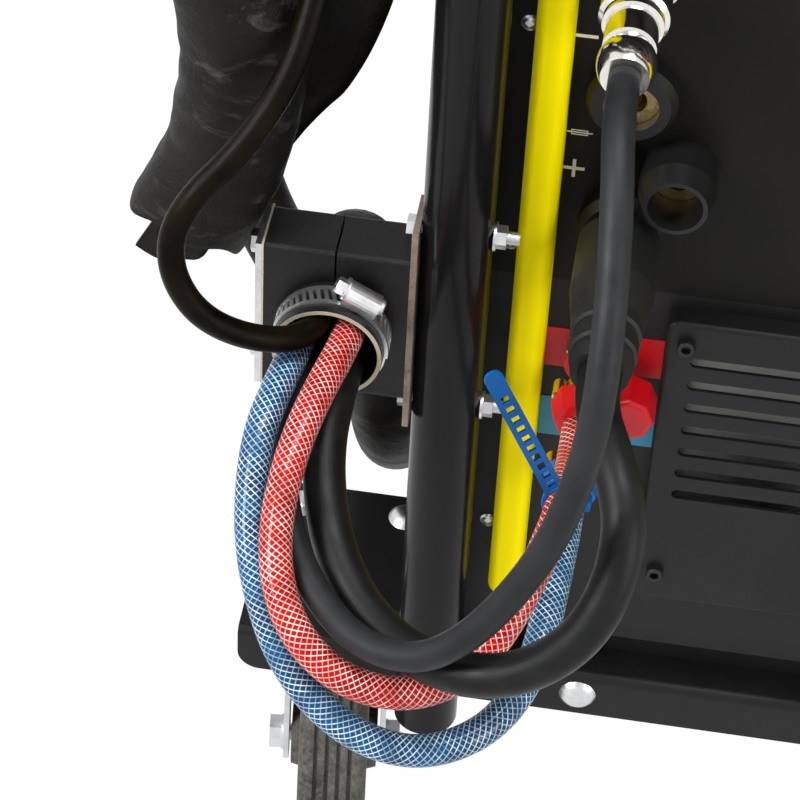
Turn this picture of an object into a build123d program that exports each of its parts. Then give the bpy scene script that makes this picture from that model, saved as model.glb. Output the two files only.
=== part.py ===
"""Wheeled, water-cooled MIG welder with its hose package clamped to the frame tube.

Millimetres, +Z up. The connection side faces -Y, and the origin is on the floor below the middle.
"""
import os
from math import cos, pi, radians, sin, sqrt, tan

from build123d import *

os.makedirs("parts", exist_ok=True)

# Clearances
RUN = 0.1  # radial room of a turning fit
SEAT = 0.2  # radial room of a fixed fit
GAP = 0.3  # room between faces that pass each other

# Trolley sheet metal
SHEET = 3.0
BEND = 5.0
CASTOR_HEIGHT = 155.0
PAN_HALF = 142.0
PAN_EDGE = 21.0
SKIRT = 60.0
SKIRT_FRONT = -222.0
LIP = 32.0
BEAM_HALF = 256.6
BEAM_DEPTH = 116.0
BEAM_CORNER = 12.0
FLANGE = 30.0

# Carriage bolts of the trolley
BOLT_D = 8.0
BOLT_HEAD_D = 20.0
BOLT_HEAD_H = 5.0
BOLT_NUT_AF = 13.0
BOLT_NUT_H = 6.0
FLANGE_BOLT_X = 70.0

# Frame tube
TUBE_D = 33.7
TUBE_WALL = 2.6
TUBE_X = 150.0
TUBE_STANDOFF = 30.0
TUBE_FOOT = 132.0
TUBE_RISE = 713.0
TUBE_BEND = 70.0
LUG_IN = 12.0
LUG_T = 4.0
LUG_H = 22.0
LUG_UP = 470.0

# Front castors
CASTOR_FROM_END = 47.6
CASTOR_FROM_FRONT = 60.15
CASTOR_YAW = 7.0
CASTOR_D = 125.0
CASTOR_TYRE_W = 37.5
CASTOR_HUB_W = 48.0
CASTOR_TRAIL = 44.0
CASTOR_PLATE_X = 85.0
CASTOR_PLATE_Y = 105.0
CASTOR_PLATE_T = 2.5
CASTOR_HOLES_X = 60.0
CASTOR_HOLES_Y = 80.0
CUP_D = 56.0
CUP_H = 3.5
KING_D = 12.0
KING_HEAD_D = 20.0
KING_HEAD_H = 5.0
CROWN_T = 4.7
CROWN_FRONT = 28.0
CROWN_BACK = 24.0
CROWN_DROP = 11.0
FORK_W = 57.0
FORK_T = 3.0
FORK_EYE = 15.0
AXLE_BOLT_D = 10.0
AXLE_BOLT_AF = 17.0
AXLE_HEAD_H = 6.5
WASHER_D = 20.0
WASHER_T = 1.6
GROOVES = 4
GROOVE_W = 2.4
GROOVE_DEPTH = 2.0

# Rear wheels
REAR_D = 250.0
REAR_W = 45.0
REAR_HUB_W = 52.0
REAR_HUB_D = 52.0
REAR_X = 180.0
REAR_BEHIND = 21.0
REAR_AXLE_D = 20.0
REAR_RIM_D = 186.0
REAR_WEB_T = 8.0
REAR_HOLES = 6
REAR_HOLE_D = 36.0
REAR_CAP_D = 34.0
REAR_CAP_T = 6.0

# Cabinet
CAB_FRONT = -387.0
CAB_DEPTH = 572.0
CAB_HEIGHT = 627.0
CAB_SKIN = 1.5
CAB_CORNER = 8.0
PANEL_T = 2.0
COOLER_H = 267.0
OUTPUT_H = 230.0
KICK_H = 21.0
KICK_DEPTH = 10.0
CABINET_LOUVRES = 8
LOUVRE_L = 90.0
LOUVRE_W = 6.0
LOUVRE_PITCH = 15.0

# Yellow trims
TRIM_X = 114.7
TRIM_W = 17.0
TRIM_PROUD = 22.0
TRIM_FOOT = 62.0
TRIM_ROUND = 5.0
TRIM_CORNER = 8.0

# Raised intake panel of the cooler
INTAKE_LEFT = -48.0
INTAKE_RIGHT = 104.0
INTAKE_FOOT = 67.0
INTAKE_H = 192.0
INTAKE_PROUD = 12.0
INTAKE_ROUND = 5.0
INTAKE_LOUVRES = 7
FILLER_X = 70.0
FILLER_UP = 102.0
FILLER_D = 40.0
FILLER_CAP_D = 54.0
FILLER_CAP_H = 18.0
NECK_PROUD = 10.0
CAP_FLUTE_D = 6.0

# Control panel
CONTROL_PROUD = 8.0
SHAFT_D = 8.0
SHAFT_L = 9.0
KNOB_D = 32.0
KNOB_H = 18.0
KNOB_FLUTES = 12
KNOB_FLUTE_D = 4.8
KNOB_UP = 546.0
KNOB_LEFT_X = -70.0
KNOB_RIGHT_X = -10.0
SWITCH_X = 70.0
SWITCH_D = 40.0
SWITCH_H = 10.0
SWITCH_GRIP_W = 10.0
SWITCH_GRIP_H = 14.0
DISPLAY_W = 90.0
DISPLAY_H = 30.0
DISPLAY_UP = 598.0

# Sockets: place across the panel and height above the base sheet
SOCKET_D = 42.0
SOCKET_BORE = 25.6
SOCKET_L = 12.0
RING_STEP = 3.0
SOCKET_BACK = 30.0
MINUS_X = -77.5
MINUS_UP = 383.5
PLUS_X = -75.5
PLUS_UP = 308.0
THIRD_X = -52.0
THIRD_UP = 342.0
THIRD_D = 36.0
THIRD_L = 28.0
CONTACT_BORE = 13.6
FUSE_X = -80.0
FUSE_UP = 350.0
FUSE_D = 15.0
FUSE_L = 11.0
CONTROL_X = -80.0
CONTROL_UP = 453.0
CONTROL_FLANGE = 34.0
CONTROL_BARREL_D = 23.0

# Plugs, from the panel face to the cable end
CONTROL_PLUG_L = 82.0
CONTROL_NUT_D = 31.0
CONTROL_BODY_D = 23.4
CONTROL_NOSE_D = 26.0
POWER_PLUG_L = 108.0
POWER_PLUG_FROM = 19.0
POWER_SLEEVE_D = 39.0
POWER_END_D = 27.0

# Coolant couplings
COUPLING_X = -84.0
RED_UP = 226.0
BLUE_UP = 177.0
NIPPLE_L = 58.0
NIPPLE_AF = 20.0
NIPPLE_TAIL_D = 11.0
NIPPLE_RIB = 2.0
PIN_D = 6.8
PIN_OUT = 6.0
COLLAR_D = 30.0
COLLAR_FROM = 42.0
COLLAR_L = 13.0
COLLAR_TRAVEL = 3.0
COLLAR_TAPER = 12.0
CAP_X = -62.0
CAP_UP = 209.0
CAP_D = 27.0
CAP_ROUND = 3.0
STRAP_W = 8.0
STRAP_T = 2.5

# Strain relief on the left frame tube
CLAMP_UP = 260.0
CLAMP_X = 70.0
CLAMP_Y = 30.0
CLAMP_Z = 88.0
CLAMP_SPLIT = 1.0
CLAMP_BOLT_D = 6.0
CLAMP_BOLT_UP = 33.0
CLAMP_ROUND = 3.0
RELIEF_PLATE_T = 3.0
TUBE_PLATE_Z = 122.0
TUBE_BOLT_UP = 54.0
M6_AF = 10.0
M6_HEAD_H = 4.0
SLEEVE_D = 53.0
SLEEVE_WALL = 2.5
SLEEVE_FRONT = -453.0
SLEEVE_REAR = -401.5
BAND_T = 1.0
BAND_W = 12.0
BAND_FRONT = -448.0
SCREW_ANGLE = 62.0
SCREW_BLOCK_L = 16.0

# Cords
CONTROL_CABLE_D = 14.0
POWER_CABLE_D = 20.0
COOLANT_HOSE_D = 15.5
GAS_HOSE_D = 12.5
PACKAGE_D = 44.0
JACKET_D = 58.0
FLAP_T = 4.0
TIE_W = 8.0
TIE_T = 1.6

# Bottle holder
BOTTLE_D = 230.0
REST_W = 236.0
REST_T = 2.0
BRACKET_UP = 542.0
BRACKET_T = 3.0
BRACKET_H = 30.0
SADDLE_T = 4.0
SADDLE_ARC = 110.0
EAR_X = -171.0
EAR_END = 19.0
FITTING_D = 17.4
FITTING_AF = 24.0
FITTING_NUT_L = 16.0
FITTING_NOSE = 35.0

# Inside the cabinet
FAN_UP = 400.0
FAN_D = 220.0
FAN_HUB_D = 70.0
FAN_W = 22.0
FAN_BLADES = 7
FAN_PITCH = 30.0
BLADE_T = 2.5
FAN_SHAFT_D = 10.0
GRILLE_D = 236.0
GRILLE_SLOTS = 11
GLAND_D = 28.0
GLAND_L = 18.0
TRAY_T = 2.0
FIN_COUNT = 9
FIN_T = 3.0
SINK_W = 180.0
SINK_H = 70.0
TOROID_D = 135.0
TOROID_H = 60.0
TANK_W = 180.0
TANK_L = 220.0
TANK_H = 230.0
PUMP_D = 90.0
PUMP_L = 160.0
PUMP_Y = 30.0

# Wire feeder on the cabinet
FEEDER_HALF = 125.0
FEEDER_FRONT = -330.0
FEEDER_DEPTH = 500.0
FEEDER_H = 330.0
FEEDER_SKIN = 2.0
FEEDER_CORNER = 6.0
SKID_H = 12.0
SKID_W = 24.0
SKID_X = 90.0
PARTITION_X = -20.0
SPOOL_D = 300.0
SPOOL_W = 100.0
SPOOL_Y = 10.0
SPOOL_UP = 163.0
SPOOL_BORE = 50.0
SPOOL_RIM = 4.0
SPOOL_X = 0.0
HANDLE_D = 22.0
HANDLE_H = 45.0
HANDLE_L = 310.0
HANDLE_BEND = 25.0
PACKAGE_GLAND_Y = -230.0
PACKAGE_GLAND_UP = 83.0
PACKAGE_GLAND_D = 62.0
PACKAGE_GLAND_L = 40.0
DRIVE_Y = -235.0
DRIVE_UP = 108.0
DRIVE_T = 14.0
ROLL_D = 37.0
ROLL_W = 11.0
ROLL_SHAFT_D = 8.0
MOTOR_D = 60.0
MOTOR_L = 80.0
TORCH_D = 60.0
TORCH_L = 34.0
TORCH_BORE = 15.0
DOOR_T = 2.0
KNUCKLE_D = 8.4
KNUCKLE_PIN_D = 4.0
KNUCKLE_L = 40.0

# Heights and depths that follow from the sizes above
PAN_TOP = CASTOR_HEIGHT + SHEET
TUBE_Y = CAB_FRONT - TUBE_STANDOFF
BEAM_FRONT = TUBE_Y + TUBE_D / 2
BEAM_BACK = BEAM_FRONT + BEAM_DEPTH
CASTOR_X = BEAM_HALF - CASTOR_FROM_END
CASTOR_Y = BEAM_FRONT + CASTOR_FROM_FRONT
CAB_REAR = CAB_FRONT + CAB_DEPTH
CAB_TOP = PAN_TOP + CAB_HEIGHT
COVER_FRONT = CAB_FRONT + PANEL_T
COVER_REAR = CAB_REAR - PANEL_T
INSIDE_HALF = PAN_HALF - CAB_SKIN
COOLER_TOP = PAN_TOP + COOLER_H
OUTPUT_TOP = COOLER_TOP + OUTPUT_H
CLAMP_MID_X = -TUBE_X - TUBE_D / 2 - RELIEF_PLATE_T - CLAMP_X / 2
CLAMP_MID_Z = PAN_TOP + CLAMP_UP
BRACKET_Z = PAN_TOP + BRACKET_UP
BOTTLE_Y = CAB_REAR + BRACKET_T + BOTTLE_D / 2 + SADDLE_T
PAN_REAR = BOTTLE_Y + REST_W / 2 + PAN_EDGE
REAR_Y = BOTTLE_Y + REAR_BEHIND
FEEDER_FLOOR = CAB_TOP + SKID_H
FEEDER_TOP = FEEDER_FLOOR + FEEDER_H
FEEDER_REAR = FEEDER_FRONT + FEEDER_DEPTH
FEEDER_MID_Y = (FEEDER_FRONT + FEEDER_REAR) / 2
SPOOL_Z = FEEDER_FLOOR + SPOOL_UP
DRIVE_Z = FEEDER_FLOOR + DRIVE_UP
DRIVE_FACE = PARTITION_X + FEEDER_SKIN + DRIVE_T
WIRE_X = DRIVE_FACE + GAP + ROLL_W / 2
WIRE_Z = DRIVE_Z + ROLL_D / 2

# Cord routes, corner by corner, in the order that each cord runs
GAS_TURN = -298.0
GAS_END = CAB_REAR - FITTING_NOSE


def gas_side(share):
    """Depth of the gas hose at a share of its way along the cabinet's side."""
    return GAS_TURN + share * (GAS_END - GAS_TURN)


CONTROL_ROUTE = [
    (-80, -469, 611), (-80, -497, 611), (-76, -527, 597), (-73, -554, 571), (-72, -575, 546),
    (-73, -588, 519), (-78, -596, 491), (-86, -600, 461), (-99, -603, 432), (-116, -606, 405),
    (-137, -605, 384), (-165, -592, 374), (-190, -567, 376), (-208, -537, 385), (-217, -504, 396),
    (-216, -469, 404.3), (-214.4, -435, 405.5), (-214.4, SLEEVE_REAR, 405.5),
]
POWER_ROUTE = [
    (PLUS_X, -495, 466), (PLUS_X, -517, 466), (-66, -543, 466), (-55, -569, 454), (-56, -587, 434),
    (-65, -600, 413), (-81, -605, 394), (-102, -604, 379), (-127, -597, 371), (-154, -578, 365),
    (-176, -555, 370), (-191, -527, 381), (-198.5, -498, 396), (-198.5, -467, 406), (-196.4, -434, 407.5),
    (-196.4, SLEEVE_REAR, 407.5),
]
RED_ROUTE = [
    (-84, -445, 384), (-84, -467, 384), (-84.5, -491, 391), (-86, -516, 395), (-93, -543, 386),
    (-104, -568, 369), (-119, -583, 352), (-144, -595, 347), (-172, -596, 353), (-196, -586, 368),
    (-209, -565, 385), (-212, -541, 402), (-209, -514, 417), (-203, -486, 425), (-196, -457, 428),
    (-194.4, -429, 427.2), (-194.4, SLEEVE_REAR, 427.2),
]
BLUE_ROUTE = [
    (-84, -445, 335), (-84, -468, 335), (-85, -494, 333), (-87, -524, 325), (-92, -552, 316),
    (-107, -577, 309), (-133, -594, 308), (-160, -598, 316), (-185, -592, 331), (-202, -581, 347),
    (-214, -566, 364), (-223, -547, 381), (-227, -525, 399), (-227, -503, 413), (-223, -481, 419),
    (-219, -457, 420.5), (-217.9, -429, 422.7), (-217.9, SLEEVE_REAR, 422.7),
]
GAS_ROUTE = [
    (-207.9, SLEEVE_REAR, 435.3), (-207.9, -425, 435.3), (-208.5, -449, 433), (-219, -467, 436),
    (-240, -479, 446), (-259, -485, 461), (-271, -484, 481), (-273, -480, 502), (-264, -474, 521),
    (-248, -464, 537),
    (-235, -452, 554), (-226, -441, 571), (-221, -429, 588), (-218, -417, 605), (-212, -405, 622),
    (-205, -389, 640), (-200, -366, 661), (-196, -337, 680), (-192, GAS_TURN, 694),
    (-189, gas_side(0.10), 702), (-186, gas_side(0.22), 705), (-184, gas_side(0.34), 704),
    (-182, gas_side(0.46), 701), (-179, gas_side(0.58), 698), (-176, gas_side(0.70), 697),
    (-173, gas_side(0.81), 698), (EAR_X, gas_side(0.91), 700), (EAR_X, gas_side(1.0), 700),
]
APEX_Y = -345.0
PACKAGE_TOP = [(-165, -230, 880), (-214, -230, 880)]
JACKETED = [
    (-262, -246, 874), (-298, -280, 850), (-314, -318, 805), (-316, APEX_Y, 752), (-316, APEX_Y, 697),
    (-316, -322, 645), (-316, -280, 602),
]
PACKAGE_REST = [
    (-316, -230, 565), (-316, -176, 530), (-316, -121, 495), (-317, -66, 459), (-320, -13, 419),
    (-326, 36, 374), (-334, 80, 323), (-343, 115, 266), (-351, 137, 204), (-355, 141, 139), (-352, 125, 79),
    (-336, 87, 38), (-308, 38, 23), (-274, -16, 24), (-240, -65, 38), (-214, -106, 68), (-198, -137, 109),
    (-190, -162, 158), (-188, -189, 211), (-188, -220, 263), (-189, -253, 311), (-193, -286, 352),
    (-198, -319, 385), (-203, -350, 408), (CLAMP_MID_X, -378, CLAMP_MID_Z),
    (CLAMP_MID_X, SLEEVE_REAR, CLAMP_MID_Z),
]
PACKAGE_ROUTE = [*PACKAGE_TOP, *JACKETED, *PACKAGE_REST]
LOOSE_Y = APEX_Y - JACKET_D - SEAT
LOOSE_ROUTE = [
    (-304, LOOSE_Y, 706), (-270, LOOSE_Y - 2, 638), (-252, LOOSE_Y - 4, 577), (-251, LOOSE_Y - 7, 526),
    (-262, LOOSE_Y - 10, 484),
]
TIE_TIP = (-121, -509, 469)
FLAP_OUTLINE = [
    (-176, 640), (-192, 562), (-214, 512), (-246, 458), (-257, 428), (-290, 408), (-316, 414), (-262, 500),
    (-238, 560), (-252, 640), (-334, 704), (-334, 746), (-298, 746), (-232, 640),
]


def facing(y):
    """Sketch plane at depth y with X across, Z up and its normal towards the connection side."""
    return Plane(origin=(0, y, 0), x_dir=(1, 0, 0), z_dir=(0, -1, 0))


def lathe(x, y, z):
    """Sketch plane through an axis along Y: radius across, distance towards the connection side up."""
    return Plane(origin=(x, y, z), x_dir=(1, 0, 0), z_dir=(0, 0, -1))


def lathe_axis(x, y, z):
    """Axis of such a turned piece."""
    return Axis((x, y, z), (0, -1, 0))


def hexagon(across_flats):
    """Corner radius of a hexagon."""
    return across_flats / sqrt(3)


def save(piece, name):
    """Label a finished piece and write it."""
    piece.label = name
    export_step(piece, f"parts/{name}.step")


def corner_radii(route):
    """The largest arc that each corner's two runs allow."""
    radii = []
    for before, at, after in zip(route, route[1:], route[2:]):
        run_in = Vector(at) - Vector(before)
        run_out = Vector(after) - Vector(at)
        turn = radians(run_in.get_angle(run_out))
        radii.append(0.45 * min(run_in.length, run_out.length) / tan(turn / 2))
    return radii


def tube_along(name, route, radii, diameter, bore=0.0):
    """A round cord, or a sleeve round one, along straight runs joined by tangent arcs."""
    with BuildPart() as tube:
        with BuildLine() as line:
            FilletPolyline(*route, radius=radii)
        with BuildSketch(Plane(origin=route[0], z_dir=Vector(route[1]) - Vector(route[0]))):
            Circle(diameter / 2)
            if bore:
                Circle(bore / 2, mode=Mode.SUBTRACT)
        sweep()
    length = line.wires()[0].length
    expected = pi * (diameter**2 - bore**2) / 4 * length
    print(f"{name}: length {length:.0f}, volume ratio {tube.part.volume / expected:.4f}, radii",
          " ".join(f"{radius:.0f}" for radius in radii))
    return tube.part


# Trolley base: an angle beam at the front, the base sheet, its folded edges and the bottle rest
with BuildPart() as trolley_base:
    with BuildSketch(Plane.YZ):
        with BuildLine():
            FilletPolyline(
                (BEAM_FRONT, PAN_TOP - FLANGE), (BEAM_FRONT, PAN_TOP), (BEAM_BACK, PAN_TOP), radius=BEND)
            offset(amount=SHEET, side=Side.RIGHT)
        make_face()
    extrude(amount=BEAM_HALF, both=True)
    fillet(trolley_base.edges().filter_by(Axis.Y).group_by(Axis.Z)[0], BEAM_CORNER)
    fillet(trolley_base.edges().filter_by(Axis.Z).group_by(Axis.Y)[-1], BEAM_CORNER)
    with BuildSketch(Plane.XY.offset(PAN_TOP - SHEET)):
        with Locations((0, (BEAM_BACK - BEND + PAN_REAR) / 2)):
            Rectangle(2 * PAN_HALF, PAN_REAR - BEAM_BACK + BEND)
    extrude(amount=SHEET)
    with BuildSketch(Plane.XY.offset(PAN_TOP - SKIRT)):
        with Locations((0, (SKIRT_FRONT + PAN_REAR) / 2)):
            with GridLocations(2 * PAN_HALF - SHEET, 0, 2, 1):
                Rectangle(SHEET, PAN_REAR - SKIRT_FRONT)
        with Locations((0, PAN_REAR - SHEET / 2)):
            Rectangle(2 * PAN_HALF, SHEET)
    extrude(amount=SKIRT - SHEET / 2)
    with BuildSketch(Plane.XY.offset(PAN_TOP)):
        with Locations((0, PAN_REAR - SHEET / 2)):
            Rectangle(2 * PAN_HALF, SHEET)
    extrude(amount=LIP)
    fillet(trolley_base.edges().filter_by(Axis.Y).group_by(Axis.Z)[-1], BEAM_CORNER)
    with BuildSketch(Plane.XY.offset(PAN_TOP)):
        with Locations((0, BOTTLE_Y)):
            RectangleRounded(REST_W, REST_W, BEAM_CORNER)
    extrude(amount=REST_T)
    with BuildSketch(Plane.YZ):
        with Locations((REAR_Y, REAR_D / 2)):
            Circle(REAR_AXLE_D / 2 + SEAT)
    extrude(amount=PAN_HALF + SHEET, both=True, mode=Mode.SUBTRACT)
    with BuildSketch(Plane.XY.offset(PAN_TOP)):
        for side in (-1, 1):
            with Locations((side * CASTOR_X, CASTOR_Y)):
                with GridLocations(CASTOR_HOLES_X, CASTOR_HOLES_Y, 2, 2):
                    Circle(BOLT_D / 2 + SEAT)
    extrude(amount=-SHEET, mode=Mode.SUBTRACT)
    with BuildSketch(facing(BEAM_FRONT)):
        with Locations((0, PAN_TOP - FLANGE / 2)):
            with GridLocations(2 * FLANGE_BOLT_X, 0, 2, 1):
                Circle(BOLT_D / 2 + SEAT)
    extrude(amount=-SHEET, mode=Mode.SUBTRACT)
save(trolley_base.part, "trolley_base")


def carriage_bolt(grip):
    """Dome-headed bolt along -Z with its nut, the head resting on the plane of its place."""
    with BuildPart() as bolt:
        with BuildSketch(Plane.XZ):
            with BuildLine():
                ThreePointArc((0, BOLT_HEAD_H), (BOLT_HEAD_D * 0.3, BOLT_HEAD_H * 0.72), (BOLT_HEAD_D / 2, 0))
                Polyline((BOLT_HEAD_D / 2, 0), (BOLT_D / 2, 0), (BOLT_D / 2, -grip - BOLT_NUT_H))
                Polyline((BOLT_D / 2, -grip - BOLT_NUT_H), (0, -grip - BOLT_NUT_H), (0, BOLT_HEAD_H))
            make_face()
        revolve(axis=Axis.Z)
        with BuildSketch(Plane.XY.offset(-grip - BOLT_NUT_H)):
            RegularPolygon(hexagon(BOLT_NUT_AF), 6)
        extrude(amount=BOLT_NUT_H)
    return bolt.part


castor_bolt = carriage_bolt(SHEET + CASTOR_PLATE_T)
flange_bolt = carriage_bolt(SHEET)
with BuildPart() as trolley_bolts:
    for side in (-1, 1):
        with Locations((side * CASTOR_X, CASTOR_Y, PAN_TOP)):
            with GridLocations(CASTOR_HOLES_X, CASTOR_HOLES_Y, 2, 2):
                add(castor_bolt)
        with Locations(Location((side * FLANGE_BOLT_X, BEAM_FRONT, PAN_TOP - FLANGE / 2), (90, 0, 0))):
            add(flange_bolt)
save(trolley_bolts.part, "trolley_bolts")

# Frame tube: an inverted U with two lugs to the cabinet and holes for the strain relief
with BuildPart() as frame_tube:
    with BuildLine():
        FilletPolyline(
            (-TUBE_X, TUBE_Y, TUBE_FOOT), (-TUBE_X, TUBE_Y, TUBE_FOOT + TUBE_RISE),
            (TUBE_X, TUBE_Y, TUBE_FOOT + TUBE_RISE), (TUBE_X, TUBE_Y, TUBE_FOOT), radius=TUBE_BEND)
    with BuildSketch(Plane(origin=(-TUBE_X, TUBE_Y, TUBE_FOOT))):
        Circle(TUBE_D / 2)
        Circle(TUBE_D / 2 - TUBE_WALL, mode=Mode.SUBTRACT)
    sweep()
    lug_front = TUBE_Y + sqrt((TUBE_D / 2 - TUBE_WALL / 2) ** 2 - LUG_IN**2)
    with BuildSketch(Plane.XY.offset(PAN_TOP + LUG_UP)):
        with Locations((0, (lug_front + CAB_FRONT) / 2)):
            with GridLocations(2 * (TUBE_X - LUG_IN), 0, 2, 1):
                Rectangle(LUG_T, CAB_FRONT - lug_front)
    extrude(amount=LUG_H)
    with BuildSketch(Plane.YZ.offset(-TUBE_X)):
        with Locations((TUBE_Y, CLAMP_MID_Z)):
            with GridLocations(0, 2 * TUBE_BOLT_UP, 1, 2):
                Circle(CLAMP_BOLT_D / 2 + SEAT)
    extrude(amount=TUBE_D, both=True, mode=Mode.SUBTRACT)
save(frame_tube.part, "frame_tube")

# Rear axle with its spacers and end caps
with BuildPart() as rear_axle:
    hub_in = REAR_X - REAR_HUB_W / 2 - GAP
    hub_out = REAR_X + REAR_HUB_W / 2 + GAP
    with BuildSketch(Plane.YZ):
        with Locations((REAR_Y, REAR_D / 2)):
            Circle(REAR_AXLE_D / 2)
    extrude(amount=hub_out + REAR_CAP_T / 2, both=True)
    for side in (-1, 1):
        with BuildSketch(Plane.YZ.offset(side * PAN_HALF)):
            with Locations((REAR_Y, REAR_D / 2)):
                Circle(REAR_AXLE_D / 2 + SHEET)
        extrude(amount=side * (hub_in - PAN_HALF))
        with BuildSketch(Plane.YZ.offset(side * hub_out)):
            with Locations((REAR_Y, REAR_D / 2)):
                Circle(REAR_CAP_D / 2)
        extrude(amount=side * REAR_CAP_T)
    fillet(rear_axle.edges().filter_by(GeomType.CIRCLE).group_by(Axis.X)[0], REAR_CAP_T / 2)
    fillet(rear_axle.edges().filter_by(GeomType.CIRCLE).group_by(Axis.X)[-1], REAR_CAP_T / 2)
save(rear_axle.part, "rear_axle")


def rear_wheel(side):
    """Rubber-tyred wheel with a holed web, turned about the axle."""
    centre = (side * REAR_X, REAR_Y, REAR_D / 2)
    bore = REAR_AXLE_D / 2 + RUN
    hub = REAR_HUB_D / 2
    rim = REAR_RIM_D / 2
    shoulder = REAR_D / 2 - REAR_W / 3
    with BuildPart() as wheel:
        with BuildSketch(Plane(origin=centre, x_dir=(0, 1, 0), z_dir=(0, 0, -1))):
            with BuildLine():
                Polyline((bore, REAR_HUB_W / 2), (hub, REAR_HUB_W / 2), (hub, REAR_WEB_T / 2),
                         (rim - REAR_WEB_T, REAR_WEB_T / 2), (rim, REAR_W / 2), (shoulder, REAR_W / 2))
                ThreePointArc((shoulder, REAR_W / 2), (REAR_D / 2 - REAR_W / 11, REAR_W * 0.38),
                              (REAR_D / 2, REAR_W * 0.2))
                Polyline((REAR_D / 2, REAR_W * 0.2), (REAR_D / 2, 0), (bore, 0), (bore, REAR_HUB_W / 2))
            make_face()
            mirror(about=Plane.XZ)
            with Locations((REAR_D / 2, 0)):
                with GridLocations(0, REAR_W * 0.2, 1, 3):
                    Rectangle(3 * GROOVE_DEPTH, GROOVE_W, mode=Mode.SUBTRACT)
        revolve(axis=Axis(centre, (1, 0, 0)))
        with BuildSketch(Plane(origin=centre, x_dir=(0, 1, 0), z_dir=(1, 0, 0))):
            with PolarLocations((hub + rim - REAR_WEB_T) / 2, REAR_HOLES):
                Circle(REAR_HOLE_D / 2)
        extrude(amount=REAR_WEB_T, both=True, mode=Mode.SUBTRACT)
    return wheel.part


save(rear_wheel(-1), "rear_wheel_left")
save(rear_wheel(1), "rear_wheel_right")

# Castors
PLATE_FOOT = CASTOR_HEIGHT - CASTOR_PLATE_T
CROWN_TOP = PLATE_FOOT - CUP_H - GAP

with BuildPart() as castor_plates:
    for side in (-1, 1):
        with BuildSketch(Plane(origin=(side * CASTOR_X, CASTOR_Y, PLATE_FOOT))):
            RectangleRounded(CASTOR_PLATE_X, CASTOR_PLATE_Y, BEND)
            with GridLocations(CASTOR_HOLES_X, CASTOR_HOLES_Y, 2, 2):
                Circle(BOLT_D / 2 + SEAT, mode=Mode.SUBTRACT)
        extrude(amount=CASTOR_PLATE_T)
        with BuildSketch(Plane(origin=(side * CASTOR_X, CASTOR_Y, PLATE_FOOT))):
            Circle(CUP_D / 2)
        extrude(amount=-CUP_H)
        with BuildSketch(Plane(origin=(side * CASTOR_X, CASTOR_Y, PLATE_FOOT))):
            Circle(KING_D / 2)
        extrude(amount=-CUP_H - CROWN_T - 2 * GAP - KING_HEAD_H)
        with BuildSketch(Plane(origin=(side * CASTOR_X, CASTOR_Y, CROWN_TOP - CROWN_T - GAP))):
            Circle(KING_HEAD_D / 2)
        extrude(amount=-KING_HEAD_H)
save(castor_plates.part, "castor_plates")


def trail_way(side):
    """Level direction from a king pin to its wheel, turned a little inwards."""
    return Vector(-side * sin(radians(CASTOR_YAW)), -cos(radians(CASTOR_YAW)), 0)


def axle_way(side):
    """Direction of a castor's axle bolt."""
    return Vector(cos(radians(CASTOR_YAW)), -side * sin(radians(CASTOR_YAW)), 0)


def castor_fork(side):
    """Pressed fork with its axle bolt, trailing behind the king pin."""
    foot = (side * CASTOR_X, CASTOR_Y, 0)
    leg_plane = Plane(origin=foot, x_dir=trail_way(side), z_dir=-axle_way(side))
    crown_plane = Plane(origin=foot, x_dir=trail_way(side), z_dir=(0, 0, 1)).offset(CROWN_TOP)
    crown_mid = (CROWN_FRONT - CROWN_BACK) / 2
    with BuildPart() as fork:
        with BuildSketch(crown_plane):
            with Locations((crown_mid, 0)):
                Rectangle(CROWN_FRONT + CROWN_BACK, FORK_W)
        extrude(amount=-CROWN_T)
        for face in (FORK_W / 2 - FORK_T, -FORK_W / 2):
            with BuildSketch(leg_plane.offset(face)):
                with Locations((CASTOR_TRAIL, CASTOR_D / 2)):
                    Circle(FORK_EYE)
                with Locations((crown_mid, CROWN_TOP - CROWN_DROP / 2)):
                    Rectangle(CROWN_FRONT + CROWN_BACK, CROWN_DROP)
                make_hull()
            extrude(amount=FORK_T)
        with BuildSketch(leg_plane.offset(-FORK_W / 2)):
            with Locations((CASTOR_TRAIL, CASTOR_D / 2)):
                Circle(AXLE_BOLT_D / 2)
        extrude(amount=FORK_W)
        for way, face in ((1, FORK_W / 2), (-1, -FORK_W / 2)):
            with BuildSketch(leg_plane.offset(face)):
                with Locations((CASTOR_TRAIL, CASTOR_D / 2)):
                    Circle(WASHER_D / 2)
            extrude(amount=way * WASHER_T)
            with BuildSketch(leg_plane.offset(face + way * WASHER_T)):
                with Locations((CASTOR_TRAIL, CASTOR_D / 2)):
                    RegularPolygon(hexagon(AXLE_BOLT_AF), 6)
            extrude(amount=way * AXLE_HEAD_H)
        with BuildSketch(crown_plane):
            Circle(KING_D / 2 + RUN)
        extrude(amount=-CROWN_T, mode=Mode.SUBTRACT)
    return fork.part


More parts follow.
